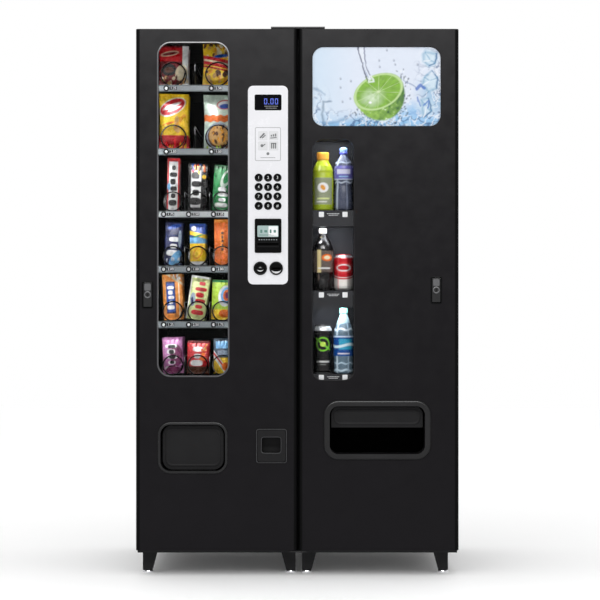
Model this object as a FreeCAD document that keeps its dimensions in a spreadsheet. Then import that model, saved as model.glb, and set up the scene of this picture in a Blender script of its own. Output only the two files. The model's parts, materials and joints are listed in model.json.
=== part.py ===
"""A free-standing snack and cold-drink vending machine: two steel cabinets side by side.

X runs across the front, Y runs from the doors to the back, Z is up. The origin is on the
floor, under the middle of the machine. Millimetres.
"""

import FreeCAD
import Part
import Sketcher
import math
import os
import re

V = FreeCAD.Vector

# Driving dimensions. Names that end in _x, _y or _z are positions, the rest are sizes.
SIZES = {
    # cabinets
    "snack_left_x": -539,
    "snack_right_x": 1,
    "drink_left_x": 4,
    "drink_right_x": 539,
    "cabinet_top_z": 1829,
    "cabinet_base_z": 69,
    "cabinet_front_y": -288,
    "cabinet_back_y": 360,
    "wall": 30,
    "deck_z": 300,
    "louvre_width": 150,
    # doors
    "door_front_y": -352,
    "door_depth": 60,
    "door_bottom_z": 85,
    "door_top_z": 1826,
    "door_edge_radius": 13,
    "skin": 3,
    "pin_radius": 5,
    "pin_play": 1.2,
    "glass": 4,
    "glass_lap": 7,
    # snack door
    "window_left_x": -464,
    "window_right_x": -231,
    "window_bottom_z": 668,
    "window_top_z": 1779,
    "window_radius": 42,
    "panel_left_x": -165,
    "panel_right_x": -31,
    "panel_bottom_z": 973,
    "panel_top_z": 1636,
    "panel_radius": 18,
    "panel_proud": 4,
    "panel_mid_x": -97.5,
    "key_pitch": 31.35,
    "key_bottom_row_z": 1235,
    "key_radius": 12.7,
    "key_play": 0.8,
    "key_proud": 3,
    "fitting_z": 1026.6,
    "fitting_radius": 22.5,
    "coin_button_x": -123.5,
    "coin_slot_x": -70.4,
    "port_left_x": -466,
    "port_right_x": -232,
    "port_bottom_z": 341,
    "port_top_z": 514,
    "port_radius": 43,
    "port_rim": 9,
    # drink door
    "sign_left_x": 50,
    "sign_right_x": 479,
    "sign_bottom_z": 1501,
    "sign_top_z": 1766,
    "sign_radius": 38,
    "display_right_x": 189,
    "display_bottom_z": 654,
    "display_top_z": 1457,
    "display_radius": 33,
    "display_depth": 92,
    "drink_port_left_x": 88,
    "drink_port_right_x": 446,
    "drink_port_bottom_z": 387,
    "drink_port_top_z": 587,
    "drink_port_radius": 50,
    "drink_port_rim": 20,
    "port_proud": 8,
    # locks
    "lock_width": 37,
    "lock_height": 91,
    "lock_depth": 34,
    "snack_lock_x": -500,
    "snack_lock_z": 938.5,
    "drink_lock_x": 464,
    "drink_lock_z": 954,
    # trays and spirals
    "tray_left_x": -480,
    "tray_right_x": -203,
    "tray_front_y": -262,
    "tray_back_y": 216,
    "tray_floor": 5,
    "rail_height": 21,
    "rail_drop": 14,
    "rail_thickness": 4,
    "tray_side": 55,
    "spiral_front_y": -248,
    "spiral_length": 400,
    "wire_radius": 2.3,
    "wide_spiral_radius": 42,
    "wide_spiral_pitch": 74,
    "narrow_spiral_radius": 33,
    "narrow_spiral_pitch": 47,
}

# Height of the underside of each tray, from the top tray down
TRAY_Z = (1642, 1427, 1215, 1029, 841, 657)
# Middle of each lane across a tray: two bag lanes or three bar lanes
WIDE_LANES_X = (-424, -271)
NARROW_LANES_X = (-425, -340, -256)
WIDE_TRAYS = 2
FACETS_PER_TURN = 12

doc = FreeCAD.newDocument("vending_machine")
sheet = doc.addObject("Spreadsheet::Sheet", "Sizes")
for row, (alias, size) in enumerate(SIZES.items(), start=1):
    sheet.set(f"A{row}", alias)
    sheet.set(f"B{row}", str(size))
    sheet.setAlias(f"B{row}", alias)
doc.recompute()

nodes = []


def linked(text):
    """The expression with every driving dimension's name pointed at the sheet."""
    def point(word):
        return "Sizes." + word.group() if word.group() in SIZES else word.group()
    return re.sub(r"[a-z][a-z_0-9]*", point, str(text))


def value(text):
    """What an expression is worth now."""
    return float(sheet.evalExpression(linked(text)))


def bind(thing, **properties):
    """Binds properties to expressions. A double underscore stands for a dot."""
    for name, text in properties.items():
        thing.setExpression(name.replace("__", "."), linked(text))


def place(thing, x, y, z, rotation=None):
    if rotation:
        thing.Placement = FreeCAD.Placement(V(0, 0, 0), rotation)
    bind(thing, Placement__Base__x=x, Placement__Base__y=y, Placement__Base__z=z)
    return thing


def node(name, thing):
    """Makes a finished thing a sub-part under its own name."""
    thing.Label = name
    nodes.append(thing)
    return thing


# ---- simple shapes; x, y and z are (low, high) pairs of expressions ----

def block(name, x, y, z):
    thing = doc.addObject("Part::Box", name)
    bind(thing, Length=f"({x[1]}) - ({x[0]})", Width=f"({y[1]}) - ({y[0]})",
         Height=f"({z[1]}) - ({z[0]})")
    return place(thing, x[0], y[0], z[0])


TOWARDS_BACK = FreeCAD.Rotation(V(1, 0, 0), -90)


def rod(name, x, y, z, radius):
    """A cylinder that runs from front to back; y is a (low, high) pair."""
    thing = doc.addObject("Part::Cylinder", name)
    bind(thing, Radius=radius, Height=f"({y[1]}) - ({y[0]})")
    return place(thing, x, y[0], z, TOWARDS_BACK)


def post(name, x, y, z, radius):
    """An upright cylinder; z is a (low, high) pair."""
    thing = doc.addObject("Part::Cylinder", name)
    bind(thing, Radius=radius, Height=f"({z[1]}) - ({z[0]})")
    return place(thing, x, y, z[0])


def cone(name, x, y, z, low_radius, high_radius):
    thing = doc.addObject("Part::Cone", name)
    bind(thing, Radius1=low_radius, Radius2=high_radius, Height=f"({z[1]}) - ({z[0]})")
    return place(thing, x, y, z[0])


def fuse(name, *things):
    thing = doc.addObject("Part::MultiFuse", name)
    thing.Shapes = list(things)
    thing.Refine = False
    return thing


def group(name, *things):
    """Separate solids that share one node."""
    thing = doc.addObject("Part::Compound", name)
    thing.Links = list(things)
    return thing


def cut(name, base, *tools):
    thing = doc.addObject("Part::Cut", name)
    thing.Base = base
    thing.Tool = tools[0] if len(tools) == 1 else fuse(name + "_tools", *tools)
    thing.Refine = False
    return thing


# ---- pressed and moulded plates, made as bodies with a sketch, a pad and rounded edges ----

def edges_of(feature, wanted):
    return [f"Edge{i}" for i, edge in enumerate(feature.Shape.Edges, start=1) if wanted(edge)]


def runs_along(axis):
    def wanted(edge):
        if len(edge.Vertexes) != 2 or edge.Curve.TypeId != "Part::GeomLine":
            return False
        run = edge.Vertexes[1].Point.sub(edge.Vertexes[0].Point)
        return abs(abs(run.dot(axis)) - run.Length) < 1e-6
    return wanted


def lies_at_y(y):
    def wanted(edge):
        return abs(edge.BoundBox.YMin - y) < 1e-4 and abs(edge.BoundBox.YMax - y) < 1e-4
    return wanted


def plate(name, x, y, z, corner=None, lip=None, lip_kind="Fillet", upright=None):
    """A plate with a rectangular sketch on its front face, padded towards the back.

    corner rounds the edges that run front to back, lip rounds or bevels the outline of the
    front face, and upright rounds the two vertical edges at the front.
    """
    body = doc.addObject("PartDesign::Body", name)
    sketch = body.newObject("Sketcher::SketchObject", name + "_sketch")
    plane = next(f for f in body.Origin.OriginFeatures if f.Role == "XZ_Plane")
    sketch.AttachmentSupport = (plane, [""])
    sketch.MapMode = "FlatFace"
    bind(sketch, AttachmentOffset__Base__x=x[0], AttachmentOffset__Base__y=z[0],
         AttachmentOffset__Base__z=f"-({y[0]})")
    width = f"({x[1]}) - ({x[0]})"
    height = f"({z[1]}) - ({z[0]})"
    wide, high = value(width), value(height)
    corners = (V(0, 0, 0), V(wide, 0, 0), V(wide, high, 0), V(0, high, 0))
    for i in range(4):
        sketch.addGeometry(Part.LineSegment(corners[i], corners[(i + 1) % 4]), False)
    for i in range(4):
        sketch.addConstraint(Sketcher.Constraint("Coincident", i, 2, (i + 1) % 4, 1))
    for i in range(2):
        sketch.addConstraint(Sketcher.Constraint("Horizontal", 2 * i))
        sketch.addConstraint(Sketcher.Constraint("Vertical", 2 * i + 1))
    sketch.addConstraint(Sketcher.Constraint("Coincident", 0, 1, -1, 1))
    for side, size, label in ((0, wide, "width"), (1, high, "height")):
        index = sketch.addConstraint(Sketcher.Constraint("Distance", side, size))
        sketch.renameConstraint(index, label)
    sketch.setExpression("Constraints.width", linked(width))
    sketch.setExpression("Constraints.height", linked(height))
    pad = body.newObject("PartDesign::Pad", name + "_pad")
    pad.Profile = sketch
    pad.Reversed = True
    bind(pad, Length=f"({y[1]}) - ({y[0]})")
    doc.recompute()
    tip = pad
    if upright:
        at_front = lies_at_y(value(y[0]))
        along = runs_along(V(0, 0, 1))
        chosen = edges_of(tip, lambda edge: along(edge) and at_front(edge))
        tip = dress(body, "Fillet", name + "_upright", tip, chosen, upright)
    if corner:
        chosen = edges_of(tip, runs_along(V(0, 1, 0)))
        tip = dress(body, "Fillet", name + "_corner", tip, chosen, corner)
    if lip:
        chosen = edges_of(tip, lies_at_y(value(y[0])))
        dress(body, lip_kind, name + "_lip", tip, chosen, lip)
    return body


def dress(body, kind, name, base, edges, size):
    feature = body.newObject("PartDesign::" + kind, name)
    feature.Base = (base, edges)
    bind(feature, **{"Radius" if kind == "Fillet" else "Size": size})
    doc.recompute()
    return feature


REAR = "door_front_y + door_depth"
CLEAR = 2  # how far a cutter runs past the face that it cuts


def cutter(name, x, z, corner=None, y=None):
    """Cuts right through a door skin, or along y."""
    return plate(name, x, y or (f"door_front_y - {CLEAR}", f"door_front_y + skin + {CLEAR}"), z, corner)


# ---- cabinets ----

LOUVRE_ROWS, LOUVRE_PITCH, LOUVRE_HEIGHT = 6, 26, 12
LOUVRE_BOTTOM_Z = 120
LOUVRE_GAP = 8  # from the cabinet's middle to each column of louvres


def cabinet(name, left, right, store_left, extra):
    """An insulated shell open at the front, with a deck over the machinery space."""
    y = ("cabinet_front_y", "cabinet_back_y")
    shell = block(name + "_shell", (left, right), y, ("cabinet_base_z", "cabinet_top_z"))
    inner_x = (f"{left} + wall", f"{right} - wall")
    inner_y = (f"cabinet_front_y - {CLEAR}", "cabinet_back_y - wall")
    store = block(name + "_store", (store_left, inner_x[1]), inner_y,
                  ("deck_z + wall", "cabinet_top_z - wall"))
    works = block(name + "_works", inner_x, inner_y, ("cabinet_base_z + wall", "deck_z"))
    middle = f"({left} + {right}) / 2"
    starts = (f"{middle} - {LOUVRE_GAP} - louvre_width", f"{middle} + {LOUVRE_GAP}")
    across = (f"cabinet_back_y - wall - {CLEAR}", f"cabinet_back_y + {CLEAR}")
    louvres = []
    for i in range(LOUVRE_ROWS):
        low = LOUVRE_BOTTOM_Z + LOUVRE_PITCH * i
        for column, start in enumerate(starts):
            x = (start, f"{start} + louvre_width")
            louvres.append(block(f"{name}_louvre_{i}_{column}", x, across, (low, low + LOUVRE_HEIGHT)))
    return cut(name + "_cut", shell, store, works, *louvres, *extra)


INLET_X, INLET_Z = "snack_left_x + 60", 150
INLET_HALF_WIDTH, INLET_HALF_HEIGHT = 24, 17
INLET_ACROSS = (f"{INLET_X} - {INLET_HALF_WIDTH}", f"{INLET_X} + {INLET_HALF_WIDTH}")
INLET_UP = (INLET_Z - INLET_HALF_HEIGHT, INLET_Z + INLET_HALF_HEIGHT)
inlet_well = block("inlet_well", INLET_ACROSS,
                   (f"cabinet_back_y - wall - {CLEAR}", f"cabinet_back_y + {CLEAR}"), INLET_UP)
snack_case = cabinet("snack_case", "snack_left_x", "snack_right_x", "tray_left_x - 3", [inlet_well])
# a partition beside the trays closes the refrigerated store off from the money and control side
partition = block("partition", ("tray_right_x + 3", "tray_right_x + 9"),
                  ("tray_front_y", "cabinet_back_y - wall + 1"),
                  ("deck_z + wall - 1", "cabinet_top_z - wall + 1"))
node("snack_cabinet", fuse("snack_case_whole", snack_case, partition))
drink_case = cabinet("drink_case", "drink_left_x", "drink_right_x", "drink_left_x + wall", [])
node("drink_cabinet", drink_case)

# A three-pole power inlet set flush in the back wall; its shroud is open to the back
inlet_shell = block("inlet_shell", INLET_ACROSS, ("cabinet_back_y - 27", "cabinet_back_y - 1"), INLET_UP)
inlet_mouth = block("inlet_mouth", (f"{INLET_X} - 13", f"{INLET_X} + 13"),
                    ("cabinet_back_y - 18", "cabinet_back_y + 1"), (INLET_Z - 9, INLET_Z + 9))
inlet_pins = [
    block(f"inlet_pin_{i}", (f"{INLET_X} + {7 * (i - 1)} - 1", f"{INLET_X} + {7 * (i - 1)} + 1"),
          ("cabinet_back_y - 20", "cabinet_back_y - 4"), (INLET_Z - 3, INLET_Z + 3))
    for i in range(3)
]
inlet_body = cut("inlet_body", inlet_shell, inlet_mouth)
node("power_inlet", fuse("inlet_whole", inlet_body, *inlet_pins))

# ---- the plates that join the cabinets and carry both doors' hinge pins ----
SNACK_PIVOT_X = "snack_right_x - door_edge_radius"
DRINK_PIVOT_X = "drink_left_x + door_edge_radius"
PIVOT_Y = "door_front_y + door_edge_radius"

top_plate = block("top_plate", ("snack_right_x - 89", "drink_left_x + 88"),
                  (f"{PIVOT_Y} - 9", "cabinet_front_y + 90"), ("cabinet_top_z", "cabinet_top_z + 5"))
bottom_plate = block("bottom_plate", ("snack_right_x - 26", "drink_left_x + 26"),
                     (f"{PIVOT_Y} - 9", "cabinet_front_y"), ("door_bottom_z - 7", "door_bottom_z - 2"))
pins = []
for side, pivot_x in (("snack", SNACK_PIVOT_X), ("drink", DRINK_PIVOT_X)):
    pins.append((
        post(side + "_top_pin", pivot_x, PIVOT_Y, ("door_top_z - 22", "cabinet_top_z + 2"), "pin_radius"),
        post(side + "_low_pin", pivot_x, PIVOT_Y, ("door_bottom_z - 4", "door_bottom_z + 22"), "pin_radius"),
    ))
bolts = [
    post(f"strap_bolt_{i}", f"{x}", f"cabinet_front_y + {y}", ("cabinet_top_z + 4", "cabinet_top_z + 8"), 6)
    for i, (x, y) in enumerate(((-60, 20), (-60, 65), (65, 20), (65, 65)))
]
top_hinge = fuse("top_hinge", top_plate, *[pair[0] for pair in pins], *bolts)
low_hinge = fuse("low_hinge", bottom_plate, *[pair[1] for pair in pins])

# upright strips that close the gap between the two cabinets, front and back
JOIN_DEPTH = 12
joining_strips = [
    block(f"joining_strip_{i}", ("snack_right_x + 0.3", "drink_left_x - 0.3"), (low, f"{low} + {JOIN_DEPTH}"),
          ("cabinet_base_z + 1", "cabinet_top_z - 1"))
    for i, low in enumerate(("cabinet_front_y + 2", f"cabinet_back_y - 2 - {JOIN_DEPTH}"))
]
node("hinge_plates", group("hinge_pair", top_hinge, low_hinge, *joining_strips))

# ---- legs with levelling glides ----
LEG_DEPTH = 40
GLIDE_HEIGHT = 6
LEG_TOP_WIDTH, LEG_FOOT_WIDTH = 48, 32
FRONT_LEG_Y, REAR_LEG_Y = "cabinet_front_y + 12", "cabinet_back_y - 52"


def leg(name, left, y, inward):
    """Tapers on one side only: inward is 1 where the slope faces right, -1 where it faces left."""
    taper = LEG_TOP_WIDTH - LEG_FOOT_WIDTH
    foot_left = 0 if inward > 0 else taper
    thing = doc.addObject("Part::Wedge", name)
    thing.Ymin, thing.Xmin, thing.Zmin, thing.Z2min = 0, 0, 0, 0
    thing.X2min = foot_left
    thing.Xmax = LEG_TOP_WIDTH
    thing.X2max = foot_left + LEG_FOOT_WIDTH
    thing.Zmax = LEG_DEPTH
    thing.Z2max = LEG_DEPTH
    bind(thing, Ymax=f"cabinet_base_z - {GLIDE_HEIGHT} - 3")
    # the wedge grows along its own Y, which is turned to point down from the cabinet
    place(thing, left, y, "cabinet_base_z", FreeCAD.Rotation(V(1, 0, 0), -90))
    middle = f"{left} + {foot_left + LEG_FOOT_WIDTH / 2}"
    deep = f"{y} + {LEG_DEPTH / 2}"
    stud = post(name + "_stud", middle, deep, (GLIDE_HEIGHT - 1, 20), 6)
    pad = post(name + "_glide", middle, deep, (0, GLIDE_HEIGHT), 16.5)
    return fuse(name + "_whole", thing, stud, pad)


legs = []
# cabinet, then how far its left and right legs stand in from its sides
LEG_INSETS = (("snack", 17, 7), ("drink", 12, 30))
for depth_name, leg_y in (("front", FRONT_LEG_Y), ("rear", REAR_LEG_Y)):
    for side, left_inset, right_inset in LEG_INSETS:
        left_x, right_x = f"{side}_left_x", f"{side}_right_x"
        legs.append(leg(f"{side}_{depth_name}_left_leg", f"{left_x} + {left_inset}", leg_y, 1))
        right_edge = f"{right_x} - {right_inset + LEG_TOP_WIDTH}"
        legs.append(leg(f"{side}_{depth_name}_right_leg", right_edge, leg_y, -1))
node("levelling_legs", group("legs", *legs))

# ---- doors ----


def door(name, left, right, pivot_x, openings):
    """A folded sheet pan, open at the back, with its hinge-pin holes and cut-outs."""
    outer = plate(name + "_outer", (left, right), ("door_front_y", REAR),
                  ("door_bottom_z", "door_top_z"), upright="door_edge_radius")
    inner = plate(name + "_inner", (f"{left} + skin", f"{right} - skin"),
                  ("door_front_y + skin", f"{REAR} + {CLEAR}"),
                  ("door_bottom_z + skin", "door_top_z - skin"), upright="door_edge_radius - skin")
    holes = [
        post(name + "_top_hole", pivot_x, PIVOT_Y, (f"door_top_z - skin - {CLEAR}", f"door_top_z + {CLEAR}"),
             "pin_radius + pin_play"),
        post(name + "_low_hole", pivot_x, PIVOT_Y,
             (f"door_bottom_z - {CLEAR}", f"door_bottom_z + skin + {CLEAR}"), "pin_radius + pin_play"),
    ]
    node(name, cut(name + "_cut", outer, inner, *holes, *openings))


def lock_cutter(side):
    """The hole in a door skin that a lock's well drops into."""
    return cutter(side + "_lock_hole",
                  (f"{side}_lock_x - lock_width / 2", f"{side}_lock_x + lock_width / 2"),
                  (f"{side}_lock_z - lock_height / 2", f"{side}_lock_z + lock_height / 2"), 6)


COIN_CUP_X = ("panel_left_x + 28", "panel_right_x - 4")
COIN_CUP_Z = (377, 491)
COIN_HOLE_X = ("panel_left_x + 40", "panel_right_x - 18")
COIN_HOLE_Z = (401, 470)
snack_openings = [
    cutter("window_hole", ("window_left_x", "window_right_x"), ("window_bottom_z", "window_top_z"),
           "window_radius"),
    cutter("panel_hole", ("panel_left_x + 8", "panel_right_x - 8"),
           ("panel_bottom_z + 8", "panel_top_z - 8"), "panel_radius - 8"),
    cutter("port_hole", ("port_left_x + port_rim - 4", "port_right_x - port_rim + 4"),
           ("port_bottom_z + port_rim - 4", "port_top_z - port_rim + 4"), "port_radius - port_rim + 4"),
    cutter("coin_hole", COIN_HOLE_X, COIN_HOLE_Z, 6),
    lock_cutter("snack"),
]
door("snack_door_panel", "snack_left_x", "snack_right_x", SNACK_PIVOT_X, snack_openings)

drink_openings = [
    cutter("sign_hole", ("sign_left_x", "sign_right_x"), ("sign_bottom_z", "sign_top_z"), "sign_radius"),
    cutter("display_hole", ("sign_left_x", "display_right_x"), ("display_bottom_z", "display_top_z"),
           "display_radius"),
    cutter("drink_port_hole",
           ("drink_port_left_x + drink_port_rim - 5", "drink_port_right_x - drink_port_rim + 5"),
           ("drink_port_bottom_z + drink_port_rim - 5", "drink_port_top_z - drink_port_rim + 5"),
           "drink_port_radius - drink_port_rim + 5"),
    lock_cutter("drink"),
]
door("drink_door_panel", "drink_left_x", "drink_right_x", DRINK_PIVOT_X, drink_openings)


def pane(name, x, z, corner):
    """A sheet that lies against the back of a door skin and laps its cut-out all round."""
    node(name, plate(name + "_sheet", (f"{x[0]} - glass_lap", f"{x[1]} + glass_lap"),
                     ("door_front_y + skin", "door_front_y + skin + glass"),
                     (f"{z[0]} - glass_lap", f"{z[1]} + glass_lap"), f"{corner} + glass_lap"))


pane("snack_window_glass", ("window_left_x", "window_right_x"), ("window_bottom_z", "window_top_z"),
     "window_radius")
pane("drink_window_glass", ("sign_left_x", "display_right_x"), ("display_bottom_z", "display_top_z"),
     "display_radius")
pane("sign_panel", ("sign_left_x", "sign_right_x"), ("sign_bottom_z", "sign_top_z"), "sign_radius")

# ---- control panel and what is set in it ----
PANEL_FRONT = "door_front_y - panel_proud"
DISPLAY_X = ("panel_mid_x - 43.5", "panel_mid_x + 43.5")
DISPLAY_Z = (1555, 1605)
VALIDATOR_X = ("panel_mid_x - 44.5", "panel_mid_x + 44.5")
VALIDATOR_Z = (1078, 1192)
NOTE_SLOT_Z = (1104, 1110)
NOTE_HALF_WIDTH = 34
THROUGH_PANEL = (f"{PANEL_FRONT} - {CLEAR}", f"door_front_y + {CLEAR}")

KEYS = (("1", "2", "3"), ("4", "5", "6"), ("7", "8", "9"), ("star", "0", "hash"))
key_places = {}
for line, names in enumerate(KEYS):
    for column, key_name in enumerate(names):
        key_x = f"panel_mid_x + key_pitch * {column - 1}"
        key_z = f"key_bottom_row_z + key_pitch * {3 - line}"
        key_places[key_name] = (key_x, key_z)

panel_sheet = plate("panel_sheet", ("panel_left_x", "panel_right_x"), (PANEL_FRONT, "door_front_y"),
                    ("panel_bottom_z", "panel_top_z"), "panel_radius", lip=2)
panel_holes = [
    rod(f"key_hole_{name}", x, THROUGH_PANEL, z, "key_radius + key_play")
    for name, (x, z) in key_places.items()
]
panel_holes.append(plate("display_hole_cutter", DISPLAY_X, THROUGH_PANEL, DISPLAY_Z, 4))
panel_holes.append(plate("validator_hole_cutter", (f"{VALIDATOR_X[0]} + 4", f"{VALIDATOR_X[1]} - 4"),
                         THROUGH_PANEL, (VALIDATOR_Z[0] + 4, VALIDATOR_Z[1] - 4), 4))
for fitting_x in ("coin_button_x", "coin_slot_x"):
    panel_holes.append(rod(fitting_x + "_hole", fitting_x, THROUGH_PANEL, "fitting_z", "fitting_radius - 3"))
node("control_panel", cut("panel_cut", panel_sheet, *panel_holes))

node("display_lens", plate("display_sheet", DISPLAY_X, (f"{PANEL_FRONT} + 1", "door_front_y"), DISPLAY_Z, 4))


def push_key(name, x, z):
    """A dished round key with a flange behind the panel that keeps it in."""
    cap = rod(name + "_cap", x, (f"{PANEL_FRONT} - key_proud", "door_front_y + 3"), z, "key_radius")
    flange = rod(name + "_flange", x, ("door_front_y + 0.4", "door_front_y + 3"), z, "key_radius + 2")
    dish = doc.addObject("Part::Sphere", name + "_dish")
    dish.Radius = 60
    place(dish, x, f"{PANEL_FRONT} - key_proud - 59", z)
    node(name, cut(name + "_whole", fuse(name + "_solid", cap, flange), dish))


for key_name, (key_x, key_z) in key_places.items():
    push_key("key_" + key_name, key_x, key_z)

# The bill validator: a bezel on the panel, a throat for the notes and a long body behind
validator_bezel = plate("validator_bezel", VALIDATOR_X, (f"{PANEL_FRONT} - 4", PANEL_FRONT), VALIDATOR_Z,
                        5, lip=2, lip_kind="Chamfer")
validator_body = block("validator_body", (f"{VALIDATOR_X[0]} + 6", f"{VALIDATOR_X[1]} - 6"),
                       (f"{PANEL_FRONT} - 1", "door_front_y + 118"),
                       (VALIDATOR_Z[0] + 6, VALIDATOR_Z[1] - 6))
note_slot = block("note_slot", (f"panel_mid_x - {NOTE_HALF_WIDTH}", f"panel_mid_x + {NOTE_HALF_WIDTH}"),
                  (f"{PANEL_FRONT} - 6", "door_front_y + 60"), NOTE_SLOT_Z)
validator_solid = fuse("validator_solid", validator_bezel, validator_body)
node("bill_validator", cut("validator_cut", validator_solid, note_slot))


def fitting(name, x, hole_radius, depth):
    """A round bezel with a sleeve through the panel."""
    bezel = rod(name + "_bezel", x, (f"{PANEL_FRONT} - 3", PANEL_FRONT), "fitting_z", "fitting_radius")
    sleeve = rod(name + "_sleeve", x, (f"{PANEL_FRONT} - 1", depth), "fitting_z", "fitting_radius - 3")
    whole = fuse(name + "_round", bezel, sleeve)
    if not hole_radius:
        return whole
    bore = rod(name + "_bore", x, (f"{PANEL_FRONT} - 4", f"{depth} + 1"), "fitting_z", hole_radius)
    return cut(name + "_bored", whole, bore)


coin_gap = block("coin_gap", ("coin_slot_x - 14.5", "coin_slot_x + 14.5"),
                 (f"{PANEL_FRONT} - 5", "door_front_y + 45"), ("fitting_z - 2.5", "fitting_z + 2.5"))
slot_fitting = cut("slot_fitting", fitting("slot", "coin_slot_x", None, "door_front_y + 40"), coin_gap)
button_fitting = fitting("button", "coin_button_x", 15, "door_front_y + 16")
node("coin_fittings", group("fitting_pair", slot_fitting, button_fitting))

BUTTON_FRONT = f"{PANEL_FRONT} - 4"
button_cap = rod("button_cap", "coin_button_x", (BUTTON_FRONT, "door_front_y + 10"), "fitting_z", 14)
button_collar = rod("button_collar", "coin_button_x", ("door_front_y + 16.5", "door_front_y + 20"),
                    "fitting_z", 18)
button_stem = rod("button_stem", "coin_button_x", ("door_front_y + 8", "door_front_y + 18"), "fitting_z", 8)
node("coin_return_button", fuse("button_whole", button_cap, button_stem, button_collar))

# ---- coin cup ----
cup_bezel = plate("cup_bezel", COIN_CUP_X, ("door_front_y - 5", "door_front_y"), COIN_CUP_Z, 12, lip=4.5,
                  lip_kind="Chamfer")
cup_box = plate("cup_box", (f"{COIN_HOLE_X[0]} + 0.5", f"{COIN_HOLE_X[1]} - 0.5"),
                ("door_front_y - 1", "door_front_y + 52"), (COIN_HOLE_Z[0] + 0.5, COIN_HOLE_Z[1] - 0.5), 5.5)
cup_hollow = plate("cup_hollow", (f"{COIN_HOLE_X[0]} + 6", f"{COIN_HOLE_X[1]} - 6"),
                   ("door_front_y - 6", "door_front_y + 49"), (COIN_HOLE_Z[0] + 10, COIN_HOLE_Z[1] - 7), 8)
node("coin_cup", cut("cup_cut", fuse("cup_solid", cup_bezel, cup_box), cup_hollow))

# ---- delivery ports: a rim on the door, a short duct behind it and a flap hung in the duct ----


def port_trim(name, x, z, corner, rim, proud, lip):
    duct_wall = 3
    hole_x = (f"{x[0]} + {rim}", f"{x[1]} - {rim}")
    hole_z = (f"{z[0]} + {rim}", f"{z[1]} - {rim}")
    outer = plate(name + "_rim", x, (f"door_front_y - {proud}", "door_front_y"), z, corner, lip=lip)
    duct = plate(name + "_duct", (f"{hole_x[0]} - {duct_wall}", f"{hole_x[1]} + {duct_wall}"),
                 ("door_front_y - 1", REAR), (f"{hole_z[0]} - {duct_wall}", f"{hole_z[1]} + {duct_wall}"),
                 f"{corner} - {rim} + {duct_wall}")
    mouth = plate(name + "_mouth", hole_x, (f"door_front_y - {proud} - {CLEAR}", f"{REAR} + {CLEAR}"), hole_z,
                  f"{corner} - {rim}")
    node(name, cut(name + "_cut", fuse(name + "_solid", outer, duct), mouth))


port_trim("snack_port_trim", ("port_left_x", "port_right_x"), ("port_bottom_z", "port_top_z"),
          "port_radius", "port_rim", 6, 4)
port_trim("drink_port_trim", ("drink_port_left_x", "drink_port_right_x"),
          ("drink_port_bottom_z", "drink_port_top_z"), "drink_port_radius", "drink_port_rim", "port_proud", 7)

FLAP_Y = "door_front_y + 22"
FLAP_THICKNESS = 4
DRINK_FLAP_BOTTOM_Z = 494  # the drink flap covers only the top of its port


def flap(name, x, z, hinge_z, corner, square_foot=False):
    """A plate that hangs from a rod along its top edge and swings inwards."""
    y = (FLAP_Y, f"{FLAP_Y} + {FLAP_THICKNESS}")
    sheet_body = plate(name + "_sheet", x, y, z, corner)
    hinge_rod = doc.addObject("Part::Cylinder", name + "_rod")
    bind(hinge_rod, Radius=3.5, Height=f"({x[1]}) - ({x[0]}) - {2 * corner}")
    place(hinge_rod, f"{x[0]} + {corner}", f"{FLAP_Y} + {FLAP_THICKNESS / 2}", hinge_z,
          FreeCAD.Rotation(V(0, 1, 0), 90))
    parts = [sheet_body, hinge_rod]
    if square_foot:
        parts.append(block(name + "_foot", x, y, (z[0], f"{z[0]} + {corner} + 4")))
    node(name, fuse(name + "_whole", *parts))


flap("snack_port_flap", ("port_left_x + port_rim + 6", "port_right_x - port_rim - 6"),
     ("port_bottom_z + port_rim + 3", "port_top_z - port_rim - 3"), "port_top_z - port_rim - 7", 34)
flap("drink_port_flap", ("drink_port_left_x + drink_port_rim + 6", "drink_port_right_x - drink_port_rim - 6"),
     (DRINK_FLAP_BOTTOM_Z, "drink_port_top_z - drink_port_rim - 2"), "drink_port_top_z - drink_port_rim - 6",
     28, square_foot=True)

# ---- locks: a well in the door and a handle that springs out of it ----


def lock(side):
    centre_x, centre_z = f"{side}_lock_x", f"{side}_lock_z"

    def across(margin):
        return (f"{centre_x} - lock_width / 2 + {margin}", f"{centre_x} + lock_width / 2 - {margin}")

    def upward(margin):
        return (f"{centre_z} - lock_height / 2 + {margin}", f"{centre_z} + lock_height / 2 - {margin}")

    well = plate(side + "_well", across(0.3), ("door_front_y - 1", "door_front_y + lock_depth"),
                 upward(0.3), 5.7)
    hollow = plate(side + "_hollow", across(2.5), ("door_front_y - 2", "door_front_y + lock_depth - 4"),
                   upward(2.5), 4)
    bore = rod(side + "_bore", centre_x, ("door_front_y + lock_depth - 6", "door_front_y + lock_depth + 2"),
               centre_z, 9.5)
    node(side + "_lock_housing", cut(side + "_well_cut", well, hollow, bore))
    bar = plate(side + "_bar", across(4), ("door_front_y + 1", "door_front_y + 10"), upward(4.5), 3, lip=1.5)
    barrel = rod(side + "_barrel", centre_x, ("door_front_y - 0.5", "door_front_y + 22"), centre_z, 11)
    stem = rod(side + "_stem", centre_x, ("door_front_y + 20", "door_front_y + 54"), centre_z, 8)
    keyway = block(side + "_keyway", (f"{centre_x} - 1", f"{centre_x} + 1"),
                   ("door_front_y - 2", "door_front_y + 8"), (f"{centre_z} - 4", f"{centre_z} + 4"))
    handle = fuse(side + "_handle_solid", bar, barrel, stem)
    node(side + "_lock_handle", cut(side + "_handle_cut", handle, keyway))


lock("snack")
lock("drink")

# ---- the lit display of sample drinks behind the small window ----
SHELF_TOPS = (1221, 952, 673)
SAMPLE_LANES_X = (86, 155.5)
SHELF_FRONT = "door_front_y + skin + glass + 2"
SHELF_BACK = "door_front_y + skin + glass + display_depth"
LABEL_PANEL_HEIGHT = 54  # price panel under each shelf, above the bay below it

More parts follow.
